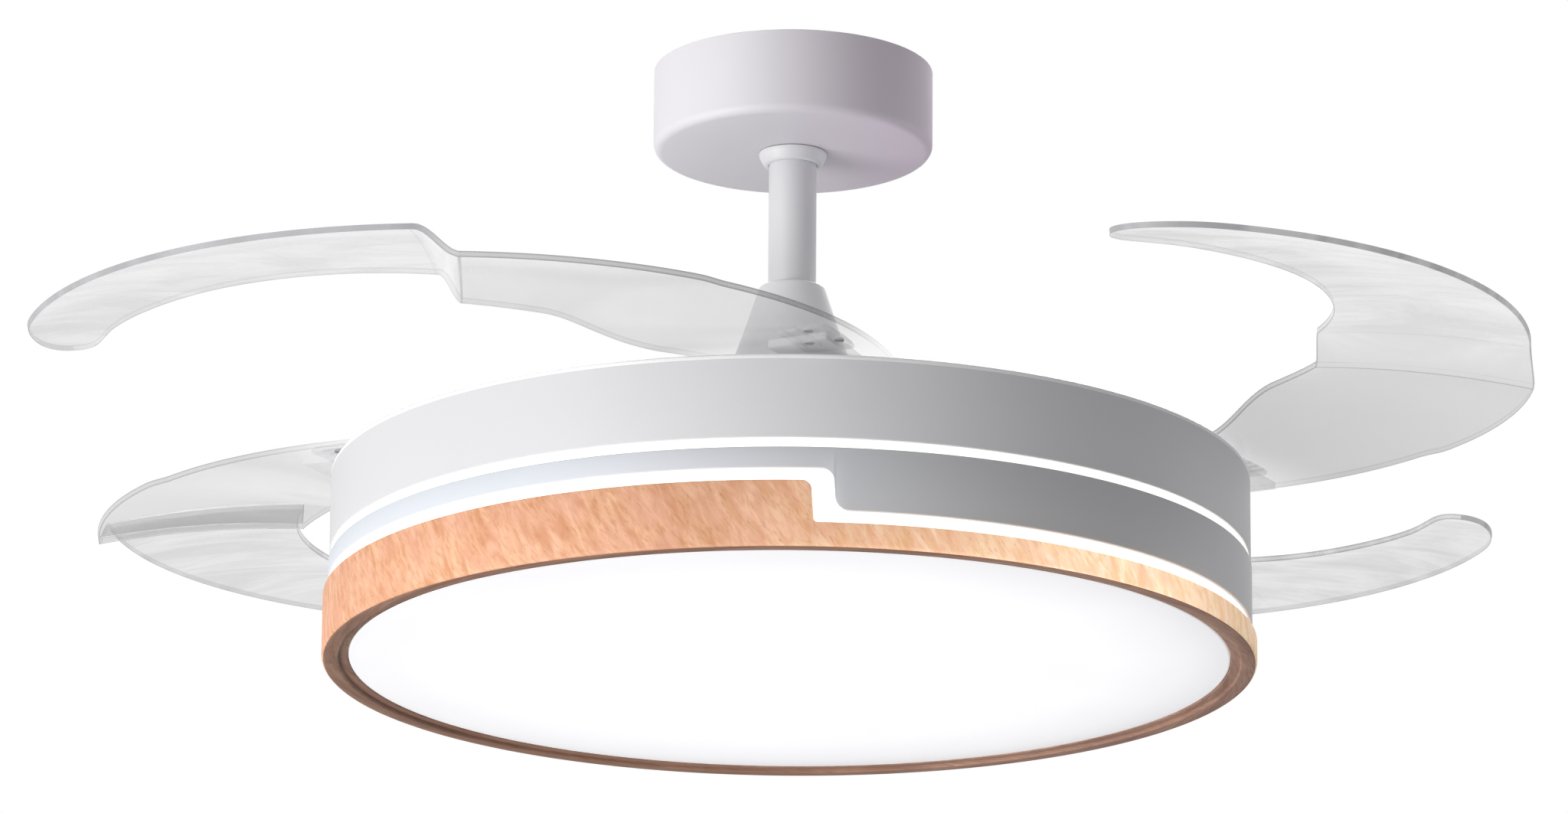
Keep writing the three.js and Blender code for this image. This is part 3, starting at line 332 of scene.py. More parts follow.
finishes = {
    "whitePaint": paintMaterial("satinWhitePaint", {
        "colour": (0.715, 0.71, 0.725), "shade": (0.68, 0.675, 0.69), "cloudScale": 5, "grainScale": 1100,
        "roughness": 0.5, "grainDepth": 0.06}),
    # painted highlight: a near-white paint along the drum's rounded rim stands in for the light the rim
    # catches
    "rimHighlightPaint": paintMaterial("paintedRimHighlight", {
        "colour": (0.97, 0.97, 0.98), "shade": (0.95, 0.95, 0.96), "cloudScale": 5, "grainScale": 1100,
        "roughness": 0.3, "grainDepth": 0.02, "gloss": 0.6}),
    # painted light: the bell's paint is brighter than the other white paint, making up for the shade it gets
    # under the blades and the drum
    "bellPaint": paintMaterial("bellPaintPaintedLight", {
        "colour": (0.95, 0.95, 0.965), "shade": (0.93, 0.93, 0.945), "cloudScale": 9, "grainScale": 1100,
        "roughness": 0.42, "grainDepth": 0.05, "gloss": 0.5}),
    # painted shade: the drum's paint is darker on the left than on the right
    "drumPaint": sideShadedPaint("drumPaint", {
        "left": (0.65, 0.648, 0.662), "right": (0.715, 0.71, 0.725), "shade": (0.66, 0.655, 0.67),
        "blendFrom": -0.17, "blendTo": -0.03, "cloudScale": 5, "grainScale": 1100,
        "roughness": 0.5, "grainDepth": 0.06}),
    "rodPaint": paintMaterial("brightRodPaint", {
        "colour": (0.83, 0.83, 0.85), "shade": (0.80, 0.80, 0.82), "cloudScale": 9, "grainScale": 1100,
        "roughness": 0.42, "grainDepth": 0.05, "gloss": 0.5}),
    # painted shade: the canopy's paint turns pinker on its right, shaded side
    "canopyPaint": sideShadedPaint("canopyPaint", {
        "left": (0.75, 0.735, 0.765), "right": (0.80, 0.70, 0.80), "shade": (0.72, 0.69, 0.74),
        "blendFrom": -0.02, "blendTo": 0.06, "cloudScale": 8, "grainScale": 1100,
        "roughness": 0.52, "grainDepth": 0.06}),
    # painted light: the band's paint is bluer and lighter on the left, its lit side
    "bandPaint": sideShadedPaint("sideShadedBandPaint", {
        "left": (0.66, 0.695, 0.75), "right": (0.64, 0.64, 0.655), "shade": (0.56, 0.57, 0.59),
        "blendFrom": -0.14, "blendTo": 0.10, "cloudScale": 5, "grainScale": 1100,
        "roughness": 0.5, "grainDepth": 0.06}),
    "zinc": metalMaterial("zincPlatedSteel", {
        "colour": (0.47, 0.48, 0.51), "shade": (0.39, 0.40, 0.43), "stretch": (1, 1, 12), "brushScale": 60,
        "roughness": 0.5, "brushDepth": 0.1}),
    "castAluminium": metalMaterial("castAluminium", {
        "colour": (0.60, 0.61, 0.63), "shade": (0.52, 0.53, 0.55), "stretch": (1, 1, 1), "brushScale": 500,
        "roughness": 0.45, "brushDepth": 0.2}),
    "darkIron": metalMaterial("laminatedIron", {
        "colour": (0.16, 0.165, 0.18), "shade": (0.10, 0.105, 0.12), "stretch": (1, 1, 60), "brushScale": 30,
        "roughness": 0.5, "brushDepth": 0.3, "metallic": 0.7}),
    "greyPlastic": paintMaterial("mouldedGreyPlastic", {
        "colour": (0.46, 0.47, 0.50), "shade": (0.42, 0.43, 0.46), "cloudScale": 20, "grainScale": 1600,
        "roughness": 0.48, "grainDepth": 0.15}),
    "whiteBoard": paintMaterial("whiteCircuitBoard", {
        "colour": (0.80, 0.80, 0.77), "shade": (0.75, 0.76, 0.74), "cloudScale": 60, "grainScale": 700,
        "roughness": 0.4, "grainDepth": 0.05}),
    "opal": glowMaterial("opalPanel", {
        "colour": (0.90, 0.90, 0.915), "shade": (0.885, 0.885, 0.905), "strength": 0.42, "edgeStrength": 0.27,
        "edgeFrom": 0.375, "edgeTo": 0.408, "roughness": 0.42}),
    "slotGlow": glowMaterial("slotGlow", {
        "colour": (1.0, 0.985, 0.94), "shade": (0.98, 0.96, 0.91), "strength": 0.95, "edgeStrength": 0.95,
        "edgeFrom": 0.3, "edgeTo": 0.4, "roughness": 0.5}),
    # painted light: this wood turns paler and glows towards the right
    "wood": woodMaterial("paleWood", {
        "lean": 38, "fibreScale": (480, 110, 1), "streakScale": (150, 42, 1), "poreScale": (900, 190, 1),
        "hueScale": (70, 45, 1), "tint": (0.86, 0.47, 0.37), "glow": 0.86,
        "lightLeft": (0.87, 0.51, 0.32), "lightRight": (0.96, 0.78, 0.56),
        "darkLeft": (0.63, 0.28, 0.14), "darkRight": (0.80, 0.50, 0.26), "poreColour": (0.45, 0.19, 0.09)}),
    # painted shade: a dark wood on the lip's inner and lower faces stands in for shade in the lip's groove,
    # darker at the left
    "lipWoodPaintedShade": woodMaterial("lipWoodPaintedShade", {
        "lean": 8, "fibreScale": (60, 900, 1), "streakScale": (10, 140, 1), "poreScale": (90, 1500, 1),
        "hueScale": (30, 60, 1), "tint": (0.30, 0.15, 0.10), "glow": 0,
        "lightLeft": (0.40, 0.23, 0.16), "lightRight": (0.46, 0.29, 0.21),
        "darkLeft": (0.22, 0.12, 0.08), "darkRight": (0.24, 0.13, 0.10), "poreColour": (0.18, 0.10, 0.08)}),
    "clearBlade": clearMaterial("clearBladePlastic", {
        "colour": (0.50, 0.50, 0.51), "shade": (0.46, 0.46, 0.47), "edgeShadeColour": (0.27, 0.27, 0.29),
        "cloudScale": 9, "alpha": 0.40, "tipAlpha": 0.30, "rimAlpha": 0.45, "insideAlpha": 0.4,
        "rootAlpha": 0.15, "roughness": 0.12, "rimRoughness": 0.35}),
    "rootPlastic": clearMaterial("ribbedRootPlastic", {
        "colour": (0.86, 0.86, 0.89), "shade": (0.78, 0.78, 0.81), "edgeShadeColour": (0.6, 0.6, 0.63),
        "cloudScale": 60, "alpha": 0.24, "tipAlpha": 0.24, "rimAlpha": 0.3, "insideAlpha": 0.5,
        "rootAlpha": 0.35, "roughness": 0.2, "rimRoughness": 0.35}),
}
print("materials made")


# mesh helpers
def finishPiece(name, bm, body, materials, replaced=(), creaseAngle=32):
    bmesh.ops.remove_doubles(bm, verts=bm.verts, dist=mergeDistance)
    bmesh.ops.recalc_face_normals(bm, faces=bm.faces)
    mesh = bpy.data.meshes.new(name)
    bm.to_mesh(mesh)
    bm.free()
    for material in materials:
        mesh.materials.append(finishes[material])
    mesh.shade_smooth()
    mesh.set_sharp_from_angle(angle=math.radians(creaseAngle))
    piece = bpy.data.objects.new(name, mesh)
    bpy.context.scene.collection.objects.link(piece)
    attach(piece, body)
    if replaced:
        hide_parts(*replaced)


# a closed outline of (radius, height, corner rounding), in millimetres
def drawProfile(bm, outline, segments=4):
    corners = [bm.verts.new((r * mm, 0, z * mm)) for r, z, _ in outline]
    bm.faces.new(corners)
    for rounding in sorted({corner[2] for corner in outline if corner[2]}):
        chosen = [v for v, corner in zip(corners, outline) if corner[2] == rounding]
        bmesh.ops.bevel(bm, geom=chosen, offset=rounding * mm, offset_type="OFFSET", segments=segments,
                        profile=0.5, affect="VERTICES", material=-1)
    bmesh.ops.delete(bm, geom=bm.faces[:], context="FACES_ONLY")
    onAxis = [e for e in bm.edges if all(abs(v.co.x) < mergeDistance / 10 for v in e.verts)]
    bmesh.ops.delete(bm, geom=onAxis, context="EDGES")


def turnedMesh(outline, steps=160, segments=4):
    bm = bmesh.new()
    drawProfile(bm, outline, segments)
    bmesh.ops.spin(bm, geom=bm.verts[:] + bm.edges[:], cent=(0, 0, 0), axis=axisUp, angle=fullTurn,
                   steps=steps, use_merge=True)
    return bm


# adds the faces of a part to bm and frees the part
def mergeInto(bm, part):
    spare = bpy.data.meshes.new("spare")
    part.to_mesh(spare)
    part.free()
    bm.from_mesh(spare)
    bpy.data.meshes.remove(spare)


def addTurned(bm, outline, place, steps=24):
    part = turnedMesh(outline, steps, 2)
    bmesh.ops.transform(part, matrix=place, verts=part.verts)
    mergeInto(bm, part)


# raises the flat faces of bm into a plate of the given height in millimetres
def raisePlate(bm, height):
    raised = bmesh.ops.extrude_face_region(bm, geom=bm.faces[:])
    lifted = [g for g in raised["geom"] if isinstance(g, bmesh.types.BMVert)]
    bmesh.ops.translate(bm, verts=lifted, vec=(0, 0, height * mm))


# a pan head with a round recess, standing on z = 0
def screwHead(radius, height):
    return [(0, height * 0.45, 0), (radius * 0.38, height * 0.45, 0), (radius * 0.45, height, 0),
            (radius * 0.8, height * 0.85, 0), (radius, height * 0.35, 0), (radius, 0, 0), (0, 0, 0)]


# ceiling cover, collar and rod
canopy = {"radius": 76, "top": -0.5, "bottom": -46.5, "wall": 1.5, "hole": 14, "round": 5}
collar = {"radius": 18.5, "footRadius": 15.6, "bore": 13.3, "top": -46.8, "bottom": -53.8, "lip": 1.5,
          "round": 1.2}
rod = {"radius": 13, "bore": 11, "top": -10.5, "bottom": -172}

c = canopy
inside = c["radius"] - c["wall"]
canopyOutline = [(c["hole"], c["bottom"], 0.5), (c["radius"], c["bottom"], c["round"]),
                 (c["radius"], c["top"], 0.4), (inside, c["top"], 0.4),
                 (inside, c["bottom"] + c["wall"], c["round"] - c["wall"]),
                 (c["hole"], c["bottom"] + c["wall"], 0.5)]
finishPiece("canopyShell", turnedMesh(canopyOutline, 160, 6), "lamp_body", ["canopyPaint"],
            ["canopy"])

c = collar
collarOutline = [(c["bore"], c["bottom"], 0.3), (c["footRadius"], c["bottom"], c["round"]),
                 (c["radius"], c["top"] - c["lip"], c["round"]), (c["radius"], c["top"], 0.4),
                 (c["bore"], c["top"], 0.3)]
finishPiece("collarRing", turnedMesh(collarOutline, 96), "lamp_body", ["rodPaint"],
            ["canopy_collar"])

c = rod
rodOutline = [(c["bore"], c["bottom"], 0.4), (c["radius"], c["bottom"], 0.4), (c["radius"], c["top"], 0.4),
              (c["bore"], c["top"], 0.4)]
finishPiece("rodTube", turnedMesh(rodOutline, 96), "lamp_body", ["rodPaint"], ["down_rod"])
print("canopy, collar and rod made")


# bell cover
bell = {
    "bore": 13.3, "wall": 1.6, "top": -123, "topRadius": 17.7, "waist": -150, "waistRadius": 26.5,
    "bottom": -195, "bottomRadius": 48, "samples": 18, "neck": 2,
}


def bellRadius(drop, b):
    slope = (b["waistRadius"] - b["topRadius"]) / (b["top"] - b["waist"])
    if drop > b["waist"]:
        return b["topRadius"] + slope * (b["top"] - drop)
    share = (b["waist"] - drop) / (b["waist"] - b["bottom"])
    straight = b["waistRadius"] + slope * (b["waist"] - drop)
    end = b["waistRadius"] + slope * (b["waist"] - b["bottom"])
    return straight + (b["bottomRadius"] - end) * share * share


b = bell
bellOutside = []
bellInside = []
for i in range(b["samples"] + 1):
    height = b["bottom"] + (b["top"] - b["neck"] - b["bottom"]) * i / b["samples"]
    bellOutside.append((bellRadius(height, b), height, 0))
    bellInside.insert(0, (max(bellRadius(height, b) - b["wall"], b["bore"]), height, 0))
bellOutline = bellOutside + [(b["topRadius"], b["top"], 1.4), (b["bore"], b["top"], 0.3)] + bellInside
finishPiece("bellCover", turnedMesh(bellOutline, 128), "lamp_body", ["bellPaint"],
            ["bell_cover"])
print("bell cover made")


# drum
drum = {"radius": 247, "wall": 1.5, "flange": 238, "round": 1.2, "highlightBand": 2.6, "innerSkin": 0.02}

c = drum
inside = c["radius"] - c["wall"]
flangeTop = level["drumBottom"] + c["wall"]
rimFoot = level["rim"] - c["highlightBand"]
drumOutline = [(c["flange"], level["drumBottom"], 0.3), (c["radius"], level["drumBottom"], 0.8),
               (c["radius"], rimFoot, 0), (c["radius"], level["rim"], c["round"]),
               (inside, level["rim"], 0.1), (inside, flangeTop, 0.8), (c["flange"], flangeTop, 0.3)]
drumMesh = turnedMesh(drumOutline, 288)
# painted highlight: the outer faces above the rim's foot take the bright rim paint
for face in drumMesh.faces:
    middle = face.calc_center_median()
    outward = math.hypot(middle.x, middle.y) / mm > inside + c["innerSkin"]
    face.material_index = 1 if outward and middle.z / mm > rimFoot else 0
finishPiece("drumWall", drumMesh, "lamp_body", ["drumPaint", "rimHighlightPaint"], ["upper_drum"])
print("drum made")


# stepped rings
# the arcs, in degrees, go once round the ring; every other one holds no step and is cut coarsely
step = {
    "radius": 250, "turn": 2, "woodDrop": 22, "woodStart": -3, "woodRound": 5, "woodSlant": 1, "woodFoot": 2,
    "bandShift": 14, "bandStart": -7.5, "bandRound": 7.3, "bandSlant": 0.4,
    "fineStep": 0.07, "coarseStep": 0.8, "arcs": [(-91, -78), (-78, 79), (79, 93), (93, 269)],
}


def stepDrop(x, height, upper, slant, lower):
    if x <= 0:
        return 0
    if x < upper:
        return upper - math.sqrt(upper ** 2 - x ** 2)
    if x < upper + slant:
        return upper + (height - upper - lower) * (x - upper) / slant
    left = upper + slant + lower - x
    return height if left <= 0 else height - lower + math.sqrt(max(lower ** 2 - left ** 2, 0))


# distance along the ring past the front or the back step, in millimetres
def pastStep(turn, s):
    perDegree = s["radius"] * math.pi / 180
    front = (turn + 90 + 180) % 360 - 180 - s["turn"]
    back = (90 + s["turn"] - turn + 180) % 360 - 180
    return (front if abs(front + s["turn"]) < 90 else back) * perDegree


def woodDrop(turn, s=step):
    past = pastStep(turn, s) - s["woodStart"]
    return stepDrop(past, s["woodDrop"], s["woodRound"], s["woodSlant"], s["woodFoot"])


def bandDrop(turn, s=step):
    past = pastStep(turn, s) - s["bandShift"] - s["bandStart"]
    return stepDrop(past, s["woodDrop"], s["bandRound"], s["bandSlant"], s["bandRound"])


# moved: list of (lowest height, highest height, function of the turn)
def steppedMesh(outline, moved, s=step):
    bm = bmesh.new()
    drawProfile(bm, outline, 3)
    start = math.radians(s["arcs"][0][0])
    bmesh.ops.rotate(bm, verts=bm.verts, cent=(0, 0, 0), matrix=Matrix.Rotation(start, 3, "Z"))
    moving = bm.verts[:] + bm.edges[:]
    for i, (first, last) in enumerate(s["arcs"]):
        size = s["coarseStep"] if i % 2 else s["fineStep"]
        result = bmesh.ops.spin(bm, geom=moving, cent=(0, 0, 0), axis=axisUp,
                                angle=math.radians(last - first), steps=round((last - first) / size))
        moving = result["geom_last"]
    bmesh.ops.remove_doubles(bm, verts=bm.verts, dist=mergeDistance)
    for v in bm.verts:
        turn = math.degrees(math.atan2(v.co.y, v.co.x))
        for low, high, drop in moved:
            if low <= v.co.z / mm <= high:
                v.co.z -= drop(turn) * mm
                break
    return bm


# arc length and height as a UV map, so that the grain runs round the ring
def unwrapRing(bm, radius):
    layer = bm.loops.layers.uv.new("grain")
    for face in bm.faces:
        middle = face.calc_center_median()
        home = math.atan2(middle.y, middle.x)
        for loop in face.loops:
            spot = loop.vert.co
            turn = math.atan2(spot.y, spot.x)
            turn += fullTurn if turn - home < -math.pi else -fullTurn if turn - home > math.pi else 0
            reach = math.hypot(spot.x, spot.y)
            loop[layer].uv = (turn * radius, spot.z + reach)


wood = {"radius": 250, "wall": 3.8, "lip": 236, "lipStep": 241, "stepHeight": 2, "top": -300, "round": 2,
        "shadeInset": 1.2, "shadeAbove": 1}  # the lip's painted shade, a darker wood: this far inside, this far over the ledge
c = wood
inside = c["radius"] - c["wall"]
lipStep = level["lip"] + c["stepHeight"]
woodOutline = [(inside, c["top"], 0.5), (c["radius"], c["top"], 0.7), (c["radius"], level["lip"], c["round"]),
               (c["lipStep"], level["lip"], 0.8), (c["lipStep"], lipStep, 0.3), (c["lip"], lipStep, 0.6),
               (c["lip"], level["ledge"], 0.4), (inside, level["ledge"], 0)]
woodMesh = steppedMesh(woodOutline, [(c["top"] - 2, c["top"] + 1, woodDrop)])
unwrapRing(woodMesh, c["radius"] * mm)
# painted shade: the lip's inner and lower faces take the dark lip wood
for face in woodMesh.faces:
    middle = face.calc_center_median()
    inward = math.hypot(middle.x, middle.y) / mm < c["radius"] - c["shadeInset"]
    face.material_index = 1 if inward and middle.z / mm < level["ledge"] + c["shadeAbove"] else 0
finishPiece("woodRing", woodMesh, "lamp_body", ["wood", "lipWoodPaintedShade"], ["wood_ring"])
print("wooden ring made")

band = {"radius": 247.5, "inside": 243.5, "top": -281.8, "bottom": -293}
c = band
bandOutline = [(c["inside"], c["bottom"], 0.3), (c["radius"], c["bottom"], 0.7), (c["radius"], c["top"], 0.7),
               (c["inside"], c["top"], 0.3)]
finishPiece("paintedBand", steppedMesh(bandOutline, [(c["bottom"] - 1, c["bottom"] + 2, bandDrop)]),
            "lamp_body", ["bandPaint"], ["lower_band"])
print("painted band made")

glow = {"inside": 240.3, "outside": 243.2, "rib": 246, "ribBottom": -299.7, "ribTop": -293.3,
        "top": -277.3, "foot": -326.7, "reach": 0.6}
c = glow
glowOutline = [(c["inside"], c["foot"], 0), (c["outside"], c["foot"], 0), (c["outside"], c["ribBottom"], 0),
               (c["rib"], c["ribBottom"], 0.4), (c["rib"], c["ribTop"], 0.4), (c["outside"], c["ribTop"], 0),
               (c["outside"], level["slotBottom"], 0), (c["rib"], level["slotBottom"], 0.4),
               (c["rib"], c["top"], 0.4), (c["inside"], c["top"], 0)]
glowMoves = [(c["ribBottom"] - c["reach"], c["ribBottom"] + c["reach"], woodDrop),
             (c["ribTop"] - c["reach"], c["ribTop"] + c["reach"], bandDrop)]
finishPiece("lightRing", steppedMesh(glowOutline, glowMoves), "lamp_body", ["slotGlow"],
            ["light_ring"])
print("light ring made")


# light panel
panel = {"wall": 235.7, "flange": 238.5, "flangeHeight": 2, "thickness": 3, "bottom": -332.7, "dome": 1.5,
         "top": -326.7, "rings": 10, "round": 1.2}
c = panel
inside = c["wall"] - c["thickness"]
flangeTop = c["top"] + c["flangeHeight"]
under = []
over = []
for i in range(c["rings"] + 1):
    share = i / c["rings"]
    drop = c["dome"] * (1 - share ** 2)
    under.append((c["wall"] * share, c["bottom"] - drop, c["round"] if i == c["rings"] else 0))
    over.insert(0, (inside * share, c["bottom"] + c["thickness"] - drop, 0))
panelOutline = under + [(c["wall"], c["top"], 0), (c["flange"], c["top"], 0.4), (c["flange"], flangeTop, 0.4),
                        (inside, flangeTop, 0)] + over
finishPiece("opalPanel", turnedMesh(panelOutline, 288), "lamp_body", ["opal"],
            ["panel_diffuser"])
print("light panel made")


# motor shell
motor = {"inside": 49.8, "outside": 55.8, "shaftHole": 10, "seat": 14.3, "seatWall": 4, "seatStep": 0.3,
         "plate": 3, "bearing": 7, "lowerShell": 3.3, "round": 3,
         "screws": 6, "screwCircle": 36, "screwRadius": 3.2, "screwHeight": 2.2, "screwSink": 0.1}
c = motor
foot = level["motorBottom"] + c["lowerShell"]
plateBottom = level["motorTop"] - c["plate"]
seatTop = plateBottom + c["seatStep"]
seatBottom = plateBottom - c["bearing"]
seatOutside = c["seat"] + c["seatWall"]
shellOutline = [(c["inside"], foot, 0.4), (c["outside"], foot, 0.4),
                (c["outside"], level["motorTop"], c["round"]), (c["shaftHole"], level["motorTop"], 0.5),
                (c["shaftHole"], seatTop, 0), (c["seat"], seatTop, 0), (c["seat"], seatBottom, 0.3),
                (seatOutside, seatBottom, 0.3), (seatOutside, plateBottom, 0), (c["inside"], plateBottom, 0)]
shellMesh = turnedMesh(shellOutline, 128)
for i in range(c["screws"]):
    turn = Matrix.Rotation(fullTurn * i / c["screws"], 4, "Z")
    spot = Matrix.Translation((c["screwCircle"] * mm, 0, (level["motorTop"] - c["screwSink"]) * mm))
    addTurned(shellMesh, screwHead(c["screwRadius"], c["screwHeight"]), turn @ spot)
finishPiece("motorShell", shellMesh, "rotor", ["castAluminium"], ["motor_upper_shell"])
print("motor shell made")


# blades
# widths: (share of the sweep, share of the breadth); lines: (share of the sweep, how dark its painted shade
# is)
blade = {
    "pivot": 200, "count": 4, "rotorTurn": 7, "openAngle": 70, "radius": 232, "sweep": 166, "breadth": 123,
    "thickness": 3, "lift": 15, "seam": 0.455, "seamLength": 0.035, "tilt": 0.09, "camber": 3, "notch": 3,
    "arm": 0.27, "armStep": 0.03, "springFrom": 0.12, "springLength": 0.2,
    "nose": 26, "noseInset": 0.9, "noseInsetLength": 0.1, "noseStart": 0.95, "noseEnd": 0.9995,
    "noseDrift": 1.3, "noseBend": 2.2, "noseTaper": 6.4, "domeWidth": 60,
    "heelDrift": 7, "heelRound": 0.93, "leastWidth": 0.04, "pinHole": 13.3, "cutterDepth": 40,
    "widths": [(-0.045, 0.23), (-0.03, 0.39), (0, 0.57), (0.1, 0.83), (0.22, 0.99), (0.34, 1), (0.48, 0.9),
               (0.62, 0.74), (0.76, 0.57), (0.88, 0.43), (0.95, 0.325), (0.985, 0.19), (1, 0.06)],
    "along": 170, "across": 18, "seamSteps": 10, "noseSteps": 16, "lineHalf": 0.002,
    "rimWidth": 0.7, "innerWall": 0.3, "outerWall": 0.4, "rootFrom": 0.02, "rootLength": 0.14,
    "lines": [(0.455, 0.75), (0.492, 0.25), (0.64, 0.10), (0.84, 0.14)],
}


def smoothStep(x, start, length):
    t = min(max((x - start) / length, 0), 1)
    return t * t * (3 - 2 * t)


def bladeWidth(t, b):
    table = b["widths"]
    k = next((i for i, (share, _) in enumerate(table) if share >= t), len(table) - 1)
    k = max(k, 1)
    points = [table[max(k - 2, 0)], table[k - 1], table[k], table[min(k + 1, len(table) - 1)]]
    (x0, y0), (x1, y1), (x2, y2), (x3, y3) = points
    span = x2 - x1
    slopeIn = (y2 - y0) / (x2 - x0) * span
    slopeOut = (y3 - y1) / (x3 - x1) * span
    u = (t - x1) / span
    value = ((2 * u ** 3 - 3 * u ** 2 + 1) * y1 + (u ** 3 - 2 * u ** 2 + u) * slopeIn
             + (3 * u ** 2 - 2 * u ** 3) * y2 + (u ** 3 - u ** 2) * slopeOut)
    return max(value, b["leastWidth"]) * b["breadth"]


# the edges' radii from the fan's axis, with rounded ends
def bladeEdges(t, b):
    armNotch = b["notch"] * (1 - smoothStep(t, b["arm"] - b["armStep"], b["armStep"]))
    inset = b["notch"] * smoothStep(t, b["seam"], b["seamLength"])
    inset += b["nose"] * max(0, (min(t, b["noseStart"]) - b["noseInset"]) / b["noseInsetLength"]) ** 3
    held = min(max(t, 0), b["noseStart"])
    half = bladeWidth(held, b) / 2
    middle = b["radius"] - inset - half
    if t > b["noseStart"]:
        past = (t - b["noseStart"]) / (1 - b["noseStart"])
        middle -= b["noseDrift"] * past + b["noseBend"] * past ** 2
        half = (half - b["noseTaper"] * past * (1 - past)) * math.sqrt(1 - past ** 2)
    if t < 0:
        past = t / b["widths"][0][0]
        middle += b["heelDrift"] * past
        half *= math.sqrt(1 - (b["heelRound"] * past) ** 2)
    return middle + half - armNotch, middle - half


# a point at a radius and turn round the fan's axis, seen from the blade's pivot
def fromPivot(radius, turn, height, b):
    return Vector((radius * math.cos(turn) - b["pivot"], radius * math.sin(turn), height)) * mm


def bladePoint(t, across, b):
    outer, inner = bladeEdges(t, b)
    radius = outer + (inner - outer) * across
    sprung = smoothStep(t, b["springFrom"], b["springLength"])
    dome = b["camber"] * min(1, (outer - inner) / b["domeWidth"]) ** 2
    height = b["tilt"] * (b["radius"] - radius) + 4 * dome * across * (1 - across)
    height = height * sprung + b["lift"] * smoothStep(t, b["seam"], b["seamLength"])
    return fromPivot(radius, -math.radians(t * b["sweep"]), level["blade"] + height, b)


def bladeShares(b):
    first, nose, noseEnd, lineHalf = b["widths"][0][0], b["noseStart"], b["noseEnd"], b["lineHalf"]
    seamSteps, noseSteps = b["seamSteps"], b["noseSteps"]
    shares = [first + (nose - first) * i / b["along"] for i in range(b["along"] + 1)]
    shares += [b["seam"] + b["seamLength"] * i / seamSteps for i in range(seamSteps + 1)]
    shares += [nose + (noseEnd - nose) * math.sin(math.pi / 2 * i / noseSteps) for i in range(noseSteps + 1)]
    for line, _ in b["lines"]:
        shares = [share for share in shares if abs(share - line) > 2 * lineHalf]
        shares += [line - lineHalf, line, line + lineHalf]
    return sorted(set(round(share, 5) for share in shares))


# painted shade on the edge walls: the outer wall is dark along the tip half, the other walls are fainter
def wallShade(spot, b):
    t = -math.degrees(math.atan2(spot.y, spot.x + b["pivot"])) / b["sweep"]
    outer, inner = bladeEdges(min(max(t, 0), 0.99), b)
    if math.hypot(spot.x + b["pivot"], spot.y) < (outer + inner) / 2:
        return b["innerWall"]
    return b["outerWall"] + (1 - b["outerWall"]) * smoothStep(t, b["seam"], b["seamLength"])


def bladeMesh(b):
    shares = bladeShares(b)
    rows = len(shares) - 1
    bm = bmesh.new()
    bmesh.ops.create_grid(bm, x_segments=rows, y_segments=b["across"], size=1)
    rim = bm.verts.layers.float.new("rim")
    tip = bm.verts.layers.float.new("tip")
    root = bm.verts.layers.float.new("root")
    lines = {round(share, 5): strength for share, strength in b["lines"]}
    for v in bm.verts:
        i = round((v.co.x + 1) / 2 * rows)
        j = round((v.co.y + 1) / 2 * b["across"])
        outer, inner = bladeEdges(shares[i], b)
        edge = min(b["rimWidth"] / (outer - inner), 0.3)
        inside = (j - 1) / (b["across"] - 2)
        across = 0 if j == 0 else 1 if j == b["across"] else edge + (1 - 2 * edge) * inside
        # painted shade: the edge rows and the lines get the dark rim colour
        v[rim] = 1 if j in (0, b["across"]) or i in (0, rows) else lines.get(shares[i], 0)
        v[tip] = smoothStep(shares[i], b["seam"], b["seamLength"])
        v[root] = 1 - smoothStep(shares[i], b["rootFrom"], b["rootLength"])
        v.co = bladePoint(shares[i], across, b)
    bmesh.ops.recalc_face_normals(bm, faces=bm.faces)
    if sum(face.normal.z for face in bm.faces) > 0:  # the sheet faces down and gains its thickness upwards
        bmesh.ops.reverse_faces(bm, faces=bm.faces)
    sheetCount = len(bm.verts)
    bmesh.ops.solidify(bm, geom=bm.faces[:], thickness=b["thickness"] * mm)
    bm.verts.index_update()
    walls = [e for e in bm.edges if (e.verts[0].index < sheetCount) != (e.verts[1].index < sheetCount)]
    cuts = bmesh.ops.subdivide_edges(bm, edges=walls, cuts=2, use_grid_fill=True)
    for made in cuts["geom_inner"]:
        if isinstance(made, bmesh.types.BMVert):
            made[rim] = wallShade(made.co / mm, b)
    return bm


# cuts the pivot hole with a round cutter
def cutHole(piece, b):
    cutter = bmesh.new()
    radius = b["pinHole"] * mm
    bmesh.ops.create_cone(cutter, cap_ends=True, segments=64, radius1=radius, radius2=radius,
                          depth=b["cutterDepth"] * mm, matrix=Matrix.Translation((0, 0, level["blade"] * mm)))
    mesh = bpy.data.meshes.new("holeCutter")
    cutter.to_mesh(mesh)
    cutter.free()
    tool = bpy.data.objects.new("holeCutter", mesh)
    bpy.context.scene.collection.objects.link(tool)
    cut = piece.modifiers.new("hole", "BOOLEAN")
    cut.operation = "DIFFERENCE"
    cut.object = tool
    cut.solver = "EXACT"
    graph = bpy.context.evaluated_depsgraph_get()
    result = bpy.data.meshes.new_from_object(piece.evaluated_get(graph))
    piece.modifiers.clear()
    bpy.data.objects.remove(tool)
    return result


def openPlace(k, b):
    arm = Matrix.Rotation(math.radians(b["rotorTurn"] + 360 * k / b["count"]), 4, "Z")
    opened = Matrix.Rotation(math.radians(b["openAngle"]), 4, "Z")
    return arm @ Matrix.Translation((b["pivot"] * mm, 0, 0)) @ opened


